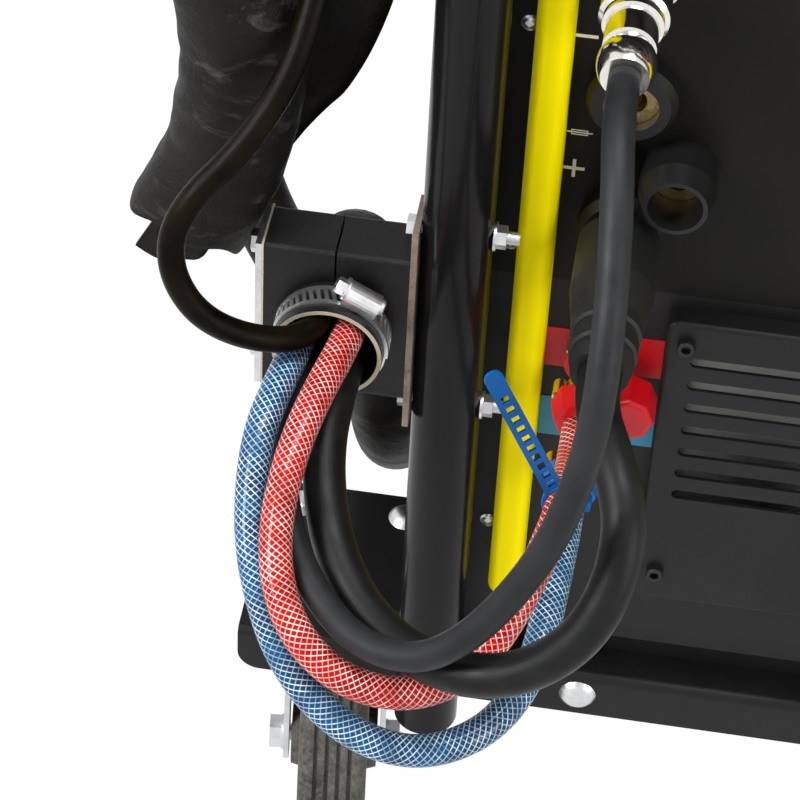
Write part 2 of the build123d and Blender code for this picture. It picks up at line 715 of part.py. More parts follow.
def castor_wheel(side):
    """Solid rubber wheel on a plain-bored hub, with round grooves in the tread."""
    centre = Vector(side * CASTOR_X, CASTOR_Y, CASTOR_D / 2) + trail_way(side) * CASTOR_TRAIL
    radius = CASTOR_D / 2
    half = CASTOR_TYRE_W / 2
    hub = CASTOR_HUB_W / 2
    bore = AXLE_BOLT_D / 2 + RUN
    with BuildPart() as wheel:
        with BuildSketch(Plane(origin=centre, x_dir=trail_way(side), z_dir=(0, 0, 1))):
            with BuildLine():
                Polyline((bore, 0), (bore, hub), (radius * 0.28, hub), (radius * 0.34, half * 0.55),
                         (radius * 0.68, half * 0.55), (radius * 0.74, half * 0.92), (radius * 0.86, half))
                ThreePointArc((radius * 0.86, half), (radius * 0.96, half * 0.9), (radius, half * 0.66))
                Polyline((radius, half * 0.66), (radius, 0), (bore, 0))
            make_face()
            mirror(about=Plane.XZ)
            with Locations((radius, 0)):
                with GridLocations(0, CASTOR_TYRE_W / (GROOVES + 2), 1, GROOVES):
                    Rectangle(2 * GROOVE_DEPTH, GROOVE_W, mode=Mode.SUBTRACT)
        revolve(axis=Axis(centre, axle_way(side)))
    return wheel.part


for side_name, side in (("left", -1), ("right", 1)):
    save(castor_fork(side), f"castor_fork_{side_name}")
    save(castor_wheel(side), f"castor_wheel_{side_name}")

# Cabinet cover: a folded U with louvres in both sides
with BuildPart() as cabinet_cover:
    with BuildSketch(facing(COVER_REAR)):
        with Locations((0, PAN_TOP + CAB_HEIGHT / 2)):
            outer = Rectangle(2 * PAN_HALF, CAB_HEIGHT)
        fillet(outer.vertices().group_by(Axis.Y)[-1], CAB_CORNER)
    extrude(amount=COVER_REAR - COVER_FRONT)
    with BuildSketch(facing(COVER_REAR)):
        with Locations((0, PAN_TOP + (CAB_HEIGHT - CAB_SKIN) / 2)):
            inner = Rectangle(2 * INSIDE_HALF, CAB_HEIGHT - CAB_SKIN)
        fillet(inner.vertices().group_by(Axis.Y)[-1], CAB_CORNER - CAB_SKIN)
    extrude(amount=COVER_REAR - COVER_FRONT, mode=Mode.SUBTRACT)
    with BuildSketch(Plane.YZ):
        for up in (COOLER_H / 2, CAB_HEIGHT - OUTPUT_H / 2):
            with Locations(((COVER_FRONT + COVER_REAR) / 2, PAN_TOP + up)):
                with GridLocations(2 * LOUVRE_L, LOUVRE_PITCH, 2, CABINET_LOUVRES):
                    SlotOverall(LOUVRE_L, LOUVRE_W)
    extrude(amount=PAN_HALF + CAB_SKIN, both=True, mode=Mode.SUBTRACT)
save(cabinet_cover.part, "cabinet_cover")


def front_trim(side):
    """Bright edge strip with a rounded nose and lower end."""
    with BuildPart() as trim:
        with BuildSketch(facing(CAB_FRONT)):
            with Locations((side * TRIM_X, (PAN_TOP + TRIM_FOOT + OUTPUT_TOP) / 2)):
                Rectangle(TRIM_W, OUTPUT_TOP - PAN_TOP - TRIM_FOOT)
        extrude(amount=TRIM_PROUD)
        fillet(trim.edges().filter_by(Axis.Y).group_by(Axis.Z)[0], TRIM_CORNER)
        fillet(trim.faces().sort_by(Axis.Y)[0].edges(), TRIM_ROUND)
    return trim.part


save(front_trim(-1), "front_trim_left")
save(front_trim(1), "front_trim_right")

# Output panel with its socket holes
SOCKETS = (
    (MINUS_X, MINUS_UP, SOCKET_D, SOCKET_L), (PLUS_X, PLUS_UP, SOCKET_D, SOCKET_L),
    (THIRD_X, THIRD_UP, THIRD_D, THIRD_L),
)
SOCKET_BARREL = THIRD_D / 2 - PANEL_T

with BuildPart() as output_panel:
    with BuildSketch(facing(COVER_FRONT)):
        with Locations((0, (COOLER_TOP + OUTPUT_TOP) / 2)):
            Rectangle(2 * PAN_HALF, OUTPUT_H)
        for socket_x, socket_up, _, _ in SOCKETS:
            with Locations((socket_x, PAN_TOP + socket_up)):
                Circle(SOCKET_BARREL + SEAT, mode=Mode.SUBTRACT)
        with Locations((FUSE_X, PAN_TOP + FUSE_UP)):
            Circle(FUSE_D / 2 - PANEL_T + SEAT, mode=Mode.SUBTRACT)
        with Locations((CONTROL_X, PAN_TOP + CONTROL_UP)):
            Circle(CONTROL_BARREL_D / 2 + SEAT, mode=Mode.SUBTRACT)
    extrude(amount=PANEL_T)
save(output_panel.part, "output_panel")

with BuildPart() as panel_sockets:
    for socket_x, socket_up, ring_d, ring_l in SOCKETS:
        place = (socket_x, CAB_FRONT, PAN_TOP + socket_up)
        ring = ring_d / 2
        bore = SOCKET_BORE / 2
        with BuildSketch(lathe(*place)):
            with BuildLine():
                Polyline((bore, ring_l), (ring - RING_STEP, ring_l), (ring, ring_l * 0.6), (ring, 0),
                         (SOCKET_BARREL, 0), (SOCKET_BARREL, -SOCKET_BACK), (bore, -SOCKET_BACK), close=True)
            make_face()
        revolve(axis=lathe_axis(*place))
    place = (FUSE_X, CAB_FRONT, PAN_TOP + FUSE_UP)
    with BuildSketch(lathe(*place)):
        with BuildLine():
            Polyline((0, FUSE_L), (FUSE_D / 2 - 1, FUSE_L), (FUSE_D / 2, FUSE_L - 1), (FUSE_D / 2, 0),
                     (FUSE_D / 2 - PANEL_T, 0), (FUSE_D / 2 - PANEL_T, -SOCKET_BACK), (0, -SOCKET_BACK),
                     close=True)
        make_face()
    revolve(axis=lathe_axis(*place))
save(panel_sockets.part, "panel_sockets")

with BuildPart() as socket_contacts:
    for socket_x, socket_up, _, _ in SOCKETS:
        with BuildSketch(facing(CAB_FRONT + SOCKET_BACK)):
            with Locations((socket_x, PAN_TOP + socket_up)):
                Circle(SOCKET_BORE / 2 - SEAT)
                Circle(CONTACT_BORE / 2, mode=Mode.SUBTRACT)
        extrude(amount=SOCKET_BACK + SOCKET_L * 0.5)
save(socket_contacts.part, "socket_contacts")

# Control socket, and the plug on it
with BuildPart() as control_socket:
    with BuildSketch(facing(CAB_FRONT)):
        with Locations((CONTROL_X, PAN_TOP + CONTROL_UP)):
            RectangleRounded(CONTROL_FLANGE, CONTROL_FLANGE, 4)
    extrude(amount=PANEL_T)
    with BuildSketch(facing(CAB_FRONT + SOCKET_BACK)):
        with Locations((CONTROL_X, PAN_TOP + CONTROL_UP)):
            Circle(CONTROL_BARREL_D / 2)
    extrude(amount=SOCKET_BACK + CONTROL_PLUG_L * 0.25)
save(control_socket.part, "control_socket")

with BuildPart() as control_plug:
    place = (CONTROL_X, CAB_FRONT, PAN_TOP + CONTROL_UP)
    nut = CONTROL_NUT_D / 2
    body = CONTROL_BODY_D / 2
    nose = CONTROL_NOSE_D / 2
    inner = CONTROL_BARREL_D / 2 + SEAT
    length = CONTROL_PLUG_L
    with BuildSketch(lathe(*place)):
        with BuildLine():
            Polyline((inner, length * 0.06), (nut, length * 0.06), (nut, length * 0.48),
                     (nut - 2, length * 0.5), (nut - 2, length * 0.55), (body, length * 0.56),
                     (body, length * 0.75), (body - 1.5, length * 0.76), (body - 1.5, length * 0.8),
                     (nose - 1, length * 0.81))
            ThreePointArc((nose - 1, length * 0.81), (nose, length * 0.88), (nose - 2.5, length))
            Polyline((nose - 2.5, length), (0, length), (0, length * 0.25 + GAP),
                     (inner, length * 0.25 + GAP), (inner, length * 0.06))
        make_face()
    revolve(axis=lathe_axis(*place))
save(control_plug.part, "control_plug")

# Welding plug: rubber sleeve with stepped rings and a brass pin in the socket
with BuildPart() as power_plug:
    place = (PLUS_X, CAB_FRONT, PAN_TOP + PLUS_UP)
    start = POWER_PLUG_FROM
    sleeve = POWER_SLEEVE_D / 2
    end = POWER_END_D / 2
    length = POWER_PLUG_L
    pin = CONTACT_BORE / 2 - SEAT
    with BuildSketch(lathe(*place)):
        with BuildLine():
            Polyline((0, -SOCKET_BACK * 0.7), (pin, -SOCKET_BACK * 0.7), (pin, start), (sleeve, start),
                     (sleeve, length * 0.5), (end + 3, length * 0.7), (end + 3, length * 0.76),
                     (end + 1.5, length * 0.77), (end + 1.5, length * 0.8), (end + 2.3, length * 0.81),
                     (end + 2.3, length * 0.88), (end + 0.8, length * 0.89), (end + 0.8, length * 0.92),
                     (end + 1.5, length * 0.93), (end, length), (0, length), close=True)
        make_face()
    revolve(axis=lathe_axis(*place))
save(power_plug.part, "power_plug")

# Cooler panel: kick strip set back at the foot, raised intake with slots and the filler hole
with BuildPart() as cooler_panel:
    with BuildSketch(facing(COVER_FRONT)):
        with Locations((0, PAN_TOP + (KICK_H + COOLER_H) / 2)):
            Rectangle(2 * PAN_HALF, COOLER_H - KICK_H)
    extrude(amount=PANEL_T)
    with BuildSketch(Plane.YZ):
        with BuildLine():
            Polyline((CAB_FRONT, PAN_TOP + KICK_H), (CAB_FRONT + KICK_DEPTH, PAN_TOP + KICK_H),
                     (CAB_FRONT + KICK_DEPTH, PAN_TOP), (COVER_FRONT + KICK_DEPTH, PAN_TOP),
                     (COVER_FRONT + KICK_DEPTH, PAN_TOP + KICK_H + PANEL_T),
                     (CAB_FRONT, PAN_TOP + KICK_H + PANEL_T), close=True)
        make_face()
    extrude(amount=INSIDE_HALF - GAP, both=True)
    intake_mid = ((INTAKE_LEFT + INTAKE_RIGHT) / 2, PAN_TOP + INTAKE_FOOT + INTAKE_H / 2)
    intake_w = INTAKE_RIGHT - INTAKE_LEFT
    with BuildSketch(facing(CAB_FRONT)):
        with Locations(intake_mid):
            RectangleRounded(intake_w, INTAKE_H, INTAKE_ROUND)
    extrude(amount=INTAKE_PROUD)
    fillet(cooler_panel.faces().sort_by(Axis.Y)[0].edges(), INTAKE_ROUND / 2)
    with BuildSketch(facing(COVER_FRONT)):
        with Locations(intake_mid):
            RectangleRounded(intake_w - 2 * PANEL_T, INTAKE_H - 2 * PANEL_T, INTAKE_ROUND - PANEL_T)
    extrude(amount=INTAKE_PROUD, mode=Mode.SUBTRACT)
    with BuildSketch(facing(COVER_FRONT)):
        with Locations((intake_mid[0] - intake_w * 0.12, intake_mid[1] + INTAKE_H * 0.14)):
            with GridLocations(0, LOUVRE_PITCH, 1, INTAKE_LOUVRES):
                SlotOverall(LOUVRE_L, LOUVRE_W)
        with Locations((FILLER_X, PAN_TOP + FILLER_UP)):
            Circle(FILLER_D / 2 + SEAT)
    extrude(amount=INTAKE_PROUD + PANEL_T, mode=Mode.SUBTRACT)
    with BuildSketch(facing(COVER_FRONT)):
        for up in (RED_UP, BLUE_UP):
            with Locations((COUPLING_X, PAN_TOP + up)):
                Circle(NIPPLE_TAIL_D / 2 + SEAT)
    extrude(amount=PANEL_T, mode=Mode.SUBTRACT)
save(cooler_panel.part, "cooler_panel")

# Coolant couplings: brass nipples, plastic release collars and one dust cap on its strap
with BuildPart() as coupling_nipples:
    tail = NIPPLE_TAIL_D / 2
    for up in (RED_UP, BLUE_UP):
        place = (COUPLING_X, CAB_FRONT, PAN_TOP + up)
        with BuildSketch(facing(CAB_FRONT)):
            with Locations((COUPLING_X, PAN_TOP + up)):
                RegularPolygon(hexagon(NIPPLE_AF), 6)
        extrude(amount=NIPPLE_L * 0.1)
        with BuildSketch(lathe(*place)):
            with BuildLine():
                Polyline((0, -SOCKET_BACK), (tail, -SOCKET_BACK), (tail, NIPPLE_L * 0.2),
                         (tail + NIPPLE_RIB, NIPPLE_L * 0.21), (tail + NIPPLE_RIB, NIPPLE_L * 0.38),
                         (tail + NIPPLE_RIB / 2, NIPPLE_L * 0.4), (tail + NIPPLE_RIB / 2, NIPPLE_L * 0.48),
                         (tail + NIPPLE_RIB * 1.5, NIPPLE_L * 0.5), (tail + NIPPLE_RIB * 1.5, NIPPLE_L * 0.62),
                         (tail, NIPPLE_L * 0.63), (tail, NIPPLE_L), (0, NIPPLE_L), close=True)
            make_face()
        revolve(axis=lathe_axis(*place))
        with BuildSketch(facing(CAB_FRONT - NIPPLE_L * 0.5)):
            with Locations((COUPLING_X - tail - PIN_OUT, PAN_TOP + up)):
                Circle(PIN_D / 2)
        extrude(amount=COLLAR_FROM - COLLAR_TRAVEL - GAP - NIPPLE_L * 0.5)
save(coupling_nipples.part, "coupling_nipples")


def coupling_collar(up):
    """Eight-sided sleeve that slides back along the tail of its nipple."""
    with BuildPart() as collar:
        with BuildSketch(facing(CAB_FRONT - COLLAR_FROM)):
            with Locations((COUPLING_X, PAN_TOP + up)):
                RegularPolygon(COLLAR_D / 2, 8)
        extrude(amount=COLLAR_L, taper=COLLAR_TAPER)
        with BuildSketch(facing(CAB_FRONT - COLLAR_FROM)):
            with Locations((COUPLING_X, PAN_TOP + up)):
                Circle(NIPPLE_TAIL_D / 2 + RUN)
        extrude(amount=COLLAR_L, mode=Mode.SUBTRACT)
    return collar.part


save(coupling_collar(RED_UP), "coupling_collar_red")
save(coupling_collar(BLUE_UP), "coupling_collar_blue")

with BuildPart() as dust_cap_red:
    strap_y = CAB_FRONT - INTAKE_PROUD - GAP
    strap = STRAP_W / 2
    knurl = NIPPLE_TAIL_D / 2 + NIPPLE_RIB
    with BuildSketch(facing(strap_y)):
        with Locations((COUPLING_X, PAN_TOP + RED_UP)):
            Circle(knurl + strap)
        with BuildLine():
            Polyline((COUPLING_X, PAN_TOP + RED_UP + strap), (CAP_X, PAN_TOP + CAP_UP + strap),
                     (CAP_X, PAN_TOP + CAP_UP - strap), (COUPLING_X, PAN_TOP + RED_UP - strap), close=True)
        make_face()
        with Locations((COUPLING_X, PAN_TOP + RED_UP)):
            Circle(knurl + SEAT, mode=Mode.SUBTRACT)
    extrude(amount=STRAP_T)
    with BuildSketch(facing(strap_y)):
        with Locations((CAP_X, PAN_TOP + CAP_UP)):
            RegularPolygon(CAP_D / 2, 8)
    extrude(amount=NIPPLE_L * 0.34)
    fillet(dust_cap_red.faces().sort_by(Axis.Y)[0].edges(), CAP_ROUND)
save(dust_cap_red.part, "dust_cap_red")

# Control panel with knob shafts and a sunk display
SHAFTS = ((KNOB_LEFT_X, KNOB_UP), (KNOB_RIGHT_X, KNOB_UP), (SWITCH_X, KNOB_UP))
CONTROL_FACE = COVER_FRONT - PANEL_T - CONTROL_PROUD

with BuildPart() as control_panel:
    with BuildSketch(facing(COVER_FRONT)):
        with Locations((0, (OUTPUT_TOP + CAB_TOP) / 2)):
            Rectangle(2 * PAN_HALF, CAB_TOP - OUTPUT_TOP)
    extrude(amount=PANEL_T + CONTROL_PROUD)
    fillet(control_panel.faces().sort_by(Axis.Y)[0].edges(), CONTROL_PROUD / 2)
    with BuildSketch(facing(CONTROL_FACE)):
        with Locations((KNOB_LEFT_X / 2 + KNOB_RIGHT_X / 2, PAN_TOP + DISPLAY_UP)):
            RectangleRounded(DISPLAY_W, DISPLAY_H, PANEL_T)
    extrude(amount=-CONTROL_PROUD / 2, mode=Mode.SUBTRACT)
    with BuildSketch(facing(CONTROL_FACE)):
        for shaft_x, shaft_up in SHAFTS:
            with Locations((shaft_x, PAN_TOP + shaft_up)):
                Circle(SHAFT_D / 2)
    extrude(amount=SHAFT_L)
save(control_panel.part, "control_panel")


def knob(x):
    """Fluted setting knob on its shaft."""
    z = PAN_TOP + KNOB_UP
    with BuildPart() as turned:
        with BuildSketch(facing(CONTROL_FACE - GAP)):
            with Locations((x, z)):
                Circle(KNOB_D / 2)
                with PolarLocations(KNOB_D / 2 + KNOB_FLUTE_D / 5, KNOB_FLUTES):
                    Circle(KNOB_FLUTE_D / 2, mode=Mode.SUBTRACT)
        extrude(amount=KNOB_H, taper=3)
        with BuildSketch(facing(CONTROL_FACE)):
            with Locations((x, z)):
                Circle(SHAFT_D / 2 + RUN)
        extrude(amount=SHAFT_L + GAP, mode=Mode.SUBTRACT)
    return turned.part


save(knob(KNOB_LEFT_X), "knob_left")
save(knob(KNOB_RIGHT_X), "knob_right")

with BuildPart() as mains_switch:
    with BuildSketch(facing(CONTROL_FACE - GAP)):
        with Locations((SWITCH_X, PAN_TOP + KNOB_UP)):
            Circle(SWITCH_D / 2)
    extrude(amount=SWITCH_H)
    with BuildSketch(facing(CONTROL_FACE - GAP - SWITCH_H)):
        with Locations((SWITCH_X, PAN_TOP + KNOB_UP)):
            RectangleRounded(SWITCH_GRIP_W, SWITCH_D - 2, SWITCH_GRIP_W / 2 - 0.5)
    extrude(amount=SWITCH_GRIP_H)
    with BuildSketch(facing(CONTROL_FACE)):
        with Locations((SWITCH_X, PAN_TOP + KNOB_UP)):
            Circle(SHAFT_D / 2 + RUN)
    extrude(amount=SHAFT_L + GAP, mode=Mode.SUBTRACT)
save(mains_switch.part, "mains_switch")

# Rear panel with the fan grille, the fan's motor boss and shaft, and the mains gland
FAN_Z = PAN_TOP + FAN_UP
FAN_REAR = COVER_REAR - FAN_W

with BuildPart() as rear_panel:
    with BuildSketch(facing(CAB_REAR)):
        with Locations((0, PAN_TOP + CAB_HEIGHT / 2)):
            Rectangle(2 * PAN_HALF, CAB_HEIGHT)
    extrude(amount=PANEL_T)
    with BuildSketch(facing(CAB_REAR)):
        with Locations((0, FAN_Z)):
            Circle(GRILLE_D / 2)
            Circle(FAN_HUB_D / 2, mode=Mode.SUBTRACT)
            with GridLocations(GRILLE_D, GRILLE_D / GRILLE_SLOTS, 1, GRILLE_SLOTS + 1):
                Rectangle(GRILLE_D, GRILLE_D / GRILLE_SLOTS / 2, mode=Mode.SUBTRACT)
            Rectangle(LOUVRE_W, GRILLE_D, mode=Mode.SUBTRACT)
    extrude(amount=PANEL_T, mode=Mode.SUBTRACT)
    with BuildSketch(facing(COVER_REAR)):
        with Locations((0, FAN_Z)):
            Circle(FAN_HUB_D / 2 - 2)
    extrude(amount=FAN_W - GAP)
    with BuildSketch(facing(COVER_REAR)):
        with Locations((0, FAN_Z)):
            Circle(FAN_SHAFT_D / 2)
    extrude(amount=2 * FAN_W)
    with BuildSketch(facing(CAB_REAR)):
        with Locations((PAN_HALF - 2 * GLAND_D, PAN_TOP + 2 * GLAND_D)):
            Circle(GLAND_D / 2)
    extrude(amount=-GLAND_L)
    with BuildSketch(facing(CAB_REAR + GLAND_L)):
        with Locations((PAN_HALF - 2 * GLAND_D, PAN_TOP + 2 * GLAND_D)):
            Circle(GLAND_D / 4)
    extrude(amount=GLAND_L, mode=Mode.SUBTRACT)
save(rear_panel.part, "rear_panel")

with BuildPart() as cooling_fan:
    fan_plane = Plane(origin=(0, FAN_REAR, FAN_Z), x_dir=(1, 0, 0), z_dir=(0, -1, 0))
    with BuildSketch(fan_plane):
        Circle(FAN_HUB_D / 2)
    extrude(amount=FAN_W)
    blade_l = (FAN_D - FAN_HUB_D) / 2
    for step in range(FAN_BLADES):
        angle = radians(step * 360 / FAN_BLADES)
        out = Vector(cos(angle), 0, sin(angle))
        pitch = Vector(-sin(angle), -tan(radians(FAN_PITCH)), cos(angle))
        root = Vector(0, FAN_REAR - FAN_W / 2, FAN_Z) + out * (FAN_HUB_D / 2 - BLADE_T)
        with BuildSketch(Plane(origin=root, x_dir=pitch, z_dir=out)):
            Rectangle(FAN_W * 1.5, BLADE_T)
        extrude(amount=blade_l + BLADE_T)
    with BuildSketch(fan_plane):
        Circle(FAN_SHAFT_D / 2 + RUN)
    extrude(amount=FAN_W, mode=Mode.SUBTRACT)
save(cooling_fan.part, "cooling_fan")

# Power module on its tray: finned heat sink and a ring transformer
with BuildPart() as power_module:
    tray_front = COVER_FRONT + SOCKET_BACK
    tray_rear = FAN_REAR - FAN_W - SOCKET_BACK
    sink_front = tray_front + TOROID_D + SOCKET_BACK / 2
    sink_mid = (sink_front + tray_rear) / 2
    with BuildSketch(Plane.XY.offset(COOLER_TOP)):
        with Locations((0, (tray_front + tray_rear) / 2)):
            Rectangle(2 * (INSIDE_HALF - GAP), tray_rear - tray_front)
    extrude(amount=TRAY_T)
    with BuildSketch(Plane.XY.offset(COOLER_TOP + TRAY_T)):
        with Locations((0, sink_mid)):
            Rectangle(SINK_W, tray_rear - sink_front)
    extrude(amount=SINK_H * 0.2)
    with BuildSketch(Plane.XY.offset(COOLER_TOP + TRAY_T + SINK_H * 0.2)):
        with Locations((0, sink_mid)):
            with GridLocations((SINK_W - FIN_T) / (FIN_COUNT - 1), 0, FIN_COUNT, 1):
                Rectangle(FIN_T, tray_rear - sink_front)
    extrude(amount=SINK_H * 0.8)
    with BuildSketch(Plane.XY.offset(COOLER_TOP + TRAY_T)):
        with Locations((0, tray_front + TOROID_D / 2)):
            Circle(TOROID_D / 2)
            Circle(TOROID_D * 0.22, mode=Mode.SUBTRACT)
    extrude(amount=TOROID_H)
save(power_module.part, "power_module")

# Coolant tank with its neck through the intake panel, the cap on the neck, and the pump
INTAKE_FACE = CAB_FRONT - INTAKE_PROUD
NECK_FRONT = INTAKE_FACE - NECK_PROUD
TANK_FRONT = COVER_FRONT + SOCKET_BACK

with BuildPart() as coolant_tank:
    with BuildSketch(Plane.XY.offset(PAN_TOP)):
        with Locations((INSIDE_HALF - TANK_W / 2 - 2 * GAP, TANK_FRONT + TANK_L / 2)):
            RectangleRounded(TANK_W, TANK_L, 12)
    extrude(amount=TANK_H)
    fillet(coolant_tank.faces().sort_by(Axis.Z)[-1].edges(), 8)
    with BuildSketch(facing(TANK_FRONT + 2)):
        with Locations((FILLER_X, PAN_TOP + FILLER_UP)):
            Circle(FILLER_D / 2)
    extrude(amount=TANK_FRONT + 2 - NECK_FRONT)
save(coolant_tank.part, "coolant_tank")

with BuildPart() as filler_cap:
    with BuildSketch(facing(INTAKE_FACE - GAP)):
        with Locations((FILLER_X, PAN_TOP + FILLER_UP)):
            Circle(FILLER_CAP_D / 2)
            with PolarLocations(FILLER_CAP_D / 2 + CAP_FLUTE_D / 6, KNOB_FLUTES):
                Circle(CAP_FLUTE_D / 2, mode=Mode.SUBTRACT)
    extrude(amount=FILLER_CAP_H)
    fillet(filler_cap.faces().sort_by(Axis.Y)[0].edges(), CAP_FLUTE_D / 3)
    with BuildSketch(facing(INTAKE_FACE)):
        with Locations((FILLER_X, PAN_TOP + FILLER_UP)):
            Circle(FILLER_D / 2 + RUN)
    extrude(amount=NECK_PROUD + GAP, mode=Mode.SUBTRACT)
save(filler_cap.part, "filler_cap")

with BuildPart() as coolant_pump:
    pump_z = PAN_TOP + PUMP_D / 2 + 12
    with BuildSketch(facing(PUMP_Y + PUMP_L / 2)):
        with Locations((0, pump_z)):
            Circle(PUMP_D / 2)
    extrude(amount=PUMP_L)
    with BuildSketch(facing(PUMP_Y - PUMP_L / 2)):
        with Locations((0, pump_z)):
            Circle(PUMP_D * 0.35)
    extrude(amount=PUMP_D / 2)
    with BuildSketch(Plane.XY.offset(PAN_TOP)):
        with Locations((0, PUMP_Y)):
            Rectangle(PUMP_D * 0.7, PUMP_L * 0.7)
    extrude(amount=PUMP_D / 4)
save(coolant_pump.part, "coolant_pump")

# Strain relief: two clamp halves with a ribbed block face, plates, bolts, sleeve and hose clamp


def clamp_half(side):
    """Half of the pipe clamp; side -1 is the outer one."""
    with BuildPart() as half:
        with BuildSketch(facing(TUBE_Y + CLAMP_Y / 2)):
            with Locations((CLAMP_MID_X + side * (CLAMP_X + CLAMP_SPLIT) / 4, CLAMP_MID_Z)):
                Rectangle((CLAMP_X - CLAMP_SPLIT) / 2, CLAMP_Z)
        extrude(amount=CLAMP_Y)
        fillet(half.edges().filter_by(Axis.X), CLAMP_ROUND)
        with BuildSketch(facing(TUBE_Y + CLAMP_Y / 2)):
            with Locations((CLAMP_MID_X, CLAMP_MID_Z)):
                Circle(SLEEVE_D / 2 + SEAT)
        extrude(amount=CLAMP_Y, mode=Mode.SUBTRACT)
        with BuildSketch(Plane.YZ.offset(CLAMP_MID_X)):
            with Locations((TUBE_Y, CLAMP_MID_Z)):
                with GridLocations(0, 2 * CLAMP_BOLT_UP, 1, 2):
                    Circle(CLAMP_BOLT_D / 2 + SEAT)
        extrude(amount=CLAMP_X, both=True, mode=Mode.SUBTRACT)
    return half.part


save(clamp_half(-1), "clamp_half_outer")
save(clamp_half(1), "clamp_half_inner")
COVER_X = CLAMP_MID_X - CLAMP_X / 2 - RELIEF_PLATE_T
PLATE_X = CLAMP_MID_X + CLAMP_X / 2

with BuildPart() as clamp_cover_plate:
    with BuildSketch(Plane.YZ.offset(COVER_X)):
        with Locations((TUBE_Y, CLAMP_MID_Z)):
            Rectangle(CLAMP_Y, CLAMP_Z)
            with GridLocations(0, 2 * CLAMP_BOLT_UP, 1, 2):
                Circle(CLAMP_BOLT_D / 2 + SEAT, mode=Mode.SUBTRACT)
    extrude(amount=RELIEF_PLATE_T)
save(clamp_cover_plate.part, "clamp_cover_plate")

with BuildPart() as tube_plate:
    with BuildSketch(Plane.YZ.offset(PLATE_X)):
        with Locations((TUBE_Y, CLAMP_MID_Z)):
            Rectangle(CLAMP_Y, TUBE_PLATE_Z)
            for up in (CLAMP_BOLT_UP, TUBE_BOLT_UP):
                with GridLocations(0, 2 * up, 1, 2):
                    Circle(CLAMP_BOLT_D / 2 + SEAT, mode=Mode.SUBTRACT)
    extrude(amount=RELIEF_PLATE_T)
save(tube_plate.part, "tube_plate")

with BuildPart() as strain_relief_bolts:
    tube_right = -TUBE_X + TUBE_D / 2
    runs = ((CLAMP_BOLT_UP, COVER_X, PLATE_X + RELIEF_PLATE_T - COVER_X),
            (TUBE_BOLT_UP, PLATE_X, tube_right - PLATE_X + 3 * M6_HEAD_H))
    for up, head_x, shank in runs:
        with BuildSketch(Plane.YZ.offset(head_x)):
            with Locations((TUBE_Y, CLAMP_MID_Z)):
                with GridLocations(0, 2 * up, 1, 2):
                    Circle(CLAMP_BOLT_D / 2)
        extrude(amount=shank)
        with BuildSketch(Plane.YZ.offset(head_x)):
            with Locations((TUBE_Y, CLAMP_MID_Z)):
                with GridLocations(0, 2 * up, 1, 2):
                    RegularPolygon(hexagon(M6_AF), 6)
        extrude(amount=-M6_HEAD_H)
    with BuildSketch(Plane.YZ.offset(tube_right)):
        with Locations((TUBE_Y, CLAMP_MID_Z)):
            with GridLocations(0, 2 * TUBE_BOLT_UP, 1, 2):
                Circle(M6_AF * 0.7)
    extrude(amount=M6_HEAD_H * 0.3)
    with BuildSketch(Plane.YZ.offset(tube_right)):
        with Locations((TUBE_Y, CLAMP_MID_Z)):
            with GridLocations(0, 2 * TUBE_BOLT_UP, 1, 2):
                RegularPolygon(hexagon(M6_AF), 6)
    extrude(amount=M6_HEAD_H * 1.5)
save(strain_relief_bolts.part, "strain_relief_bolts")

with BuildPart() as jacket_end_sleeve:
    with BuildSketch(facing(SLEEVE_REAR)):
        with Locations((CLAMP_MID_X, CLAMP_MID_Z)):
            Circle(SLEEVE_D / 2)
            Circle(SLEEVE_D / 2 - SLEEVE_WALL, mode=Mode.SUBTRACT)
    extrude(amount=SLEEVE_REAR - SLEEVE_FRONT)
save(jacket_end_sleeve.part, "jacket_end_sleeve")

with BuildPart() as hose_clamp:
    band = SLEEVE_D / 2 + RUN
    with BuildSketch(facing(BAND_FRONT + BAND_W)):
        with Locations((CLAMP_MID_X, CLAMP_MID_Z)):
            Circle(band + BAND_T)
            Circle(band, mode=Mode.SUBTRACT)
    extrude(amount=BAND_W)
    away = Vector(cos(radians(SCREW_ANGLE)), 0, sin(radians(SCREW_ANGLE)))
    along = Vector(-sin(radians(SCREW_ANGLE)), 0, cos(radians(SCREW_ANGLE)))
    foot = Vector(CLAMP_MID_X, BAND_FRONT + BAND_W / 2, CLAMP_MID_Z) + away * (band + BAND_T / 2)
    with BuildSketch(Plane(origin=foot, x_dir=along, z_dir=away)):
        Rectangle(SCREW_BLOCK_L, BAND_W)
    extrude(amount=SCREW_BLOCK_L / 2)
    with BuildSketch(Plane(origin=foot + away * SCREW_BLOCK_L / 4 + along * SCREW_BLOCK_L / 2, z_dir=along)):
        RegularPolygon(hexagon(7), 6)
    extrude(amount=SCREW_BLOCK_L / 3)
save(hose_clamp.part, "hose_clamp")

# Cords
CORDS = (
    ("control_cable", CONTROL_ROUTE, CONTROL_CABLE_D), ("power_cable", POWER_ROUTE, POWER_CABLE_D),
    ("coolant_hose_red", RED_ROUTE, COOLANT_HOSE_D), ("coolant_hose_blue", BLUE_ROUTE, COOLANT_HOSE_D),
    ("gas_hose", GAS_ROUTE, GAS_HOSE_D), ("hose_package", PACKAGE_ROUTE, PACKAGE_D),
)
for cord_name, route, diameter in CORDS:
    save(tube_along(cord_name, route, corner_radii(route), diameter), cord_name)


def middle(before, after):
    """The point halfway along a run."""
    return tuple((Vector(before) + Vector(after)) * 0.5)


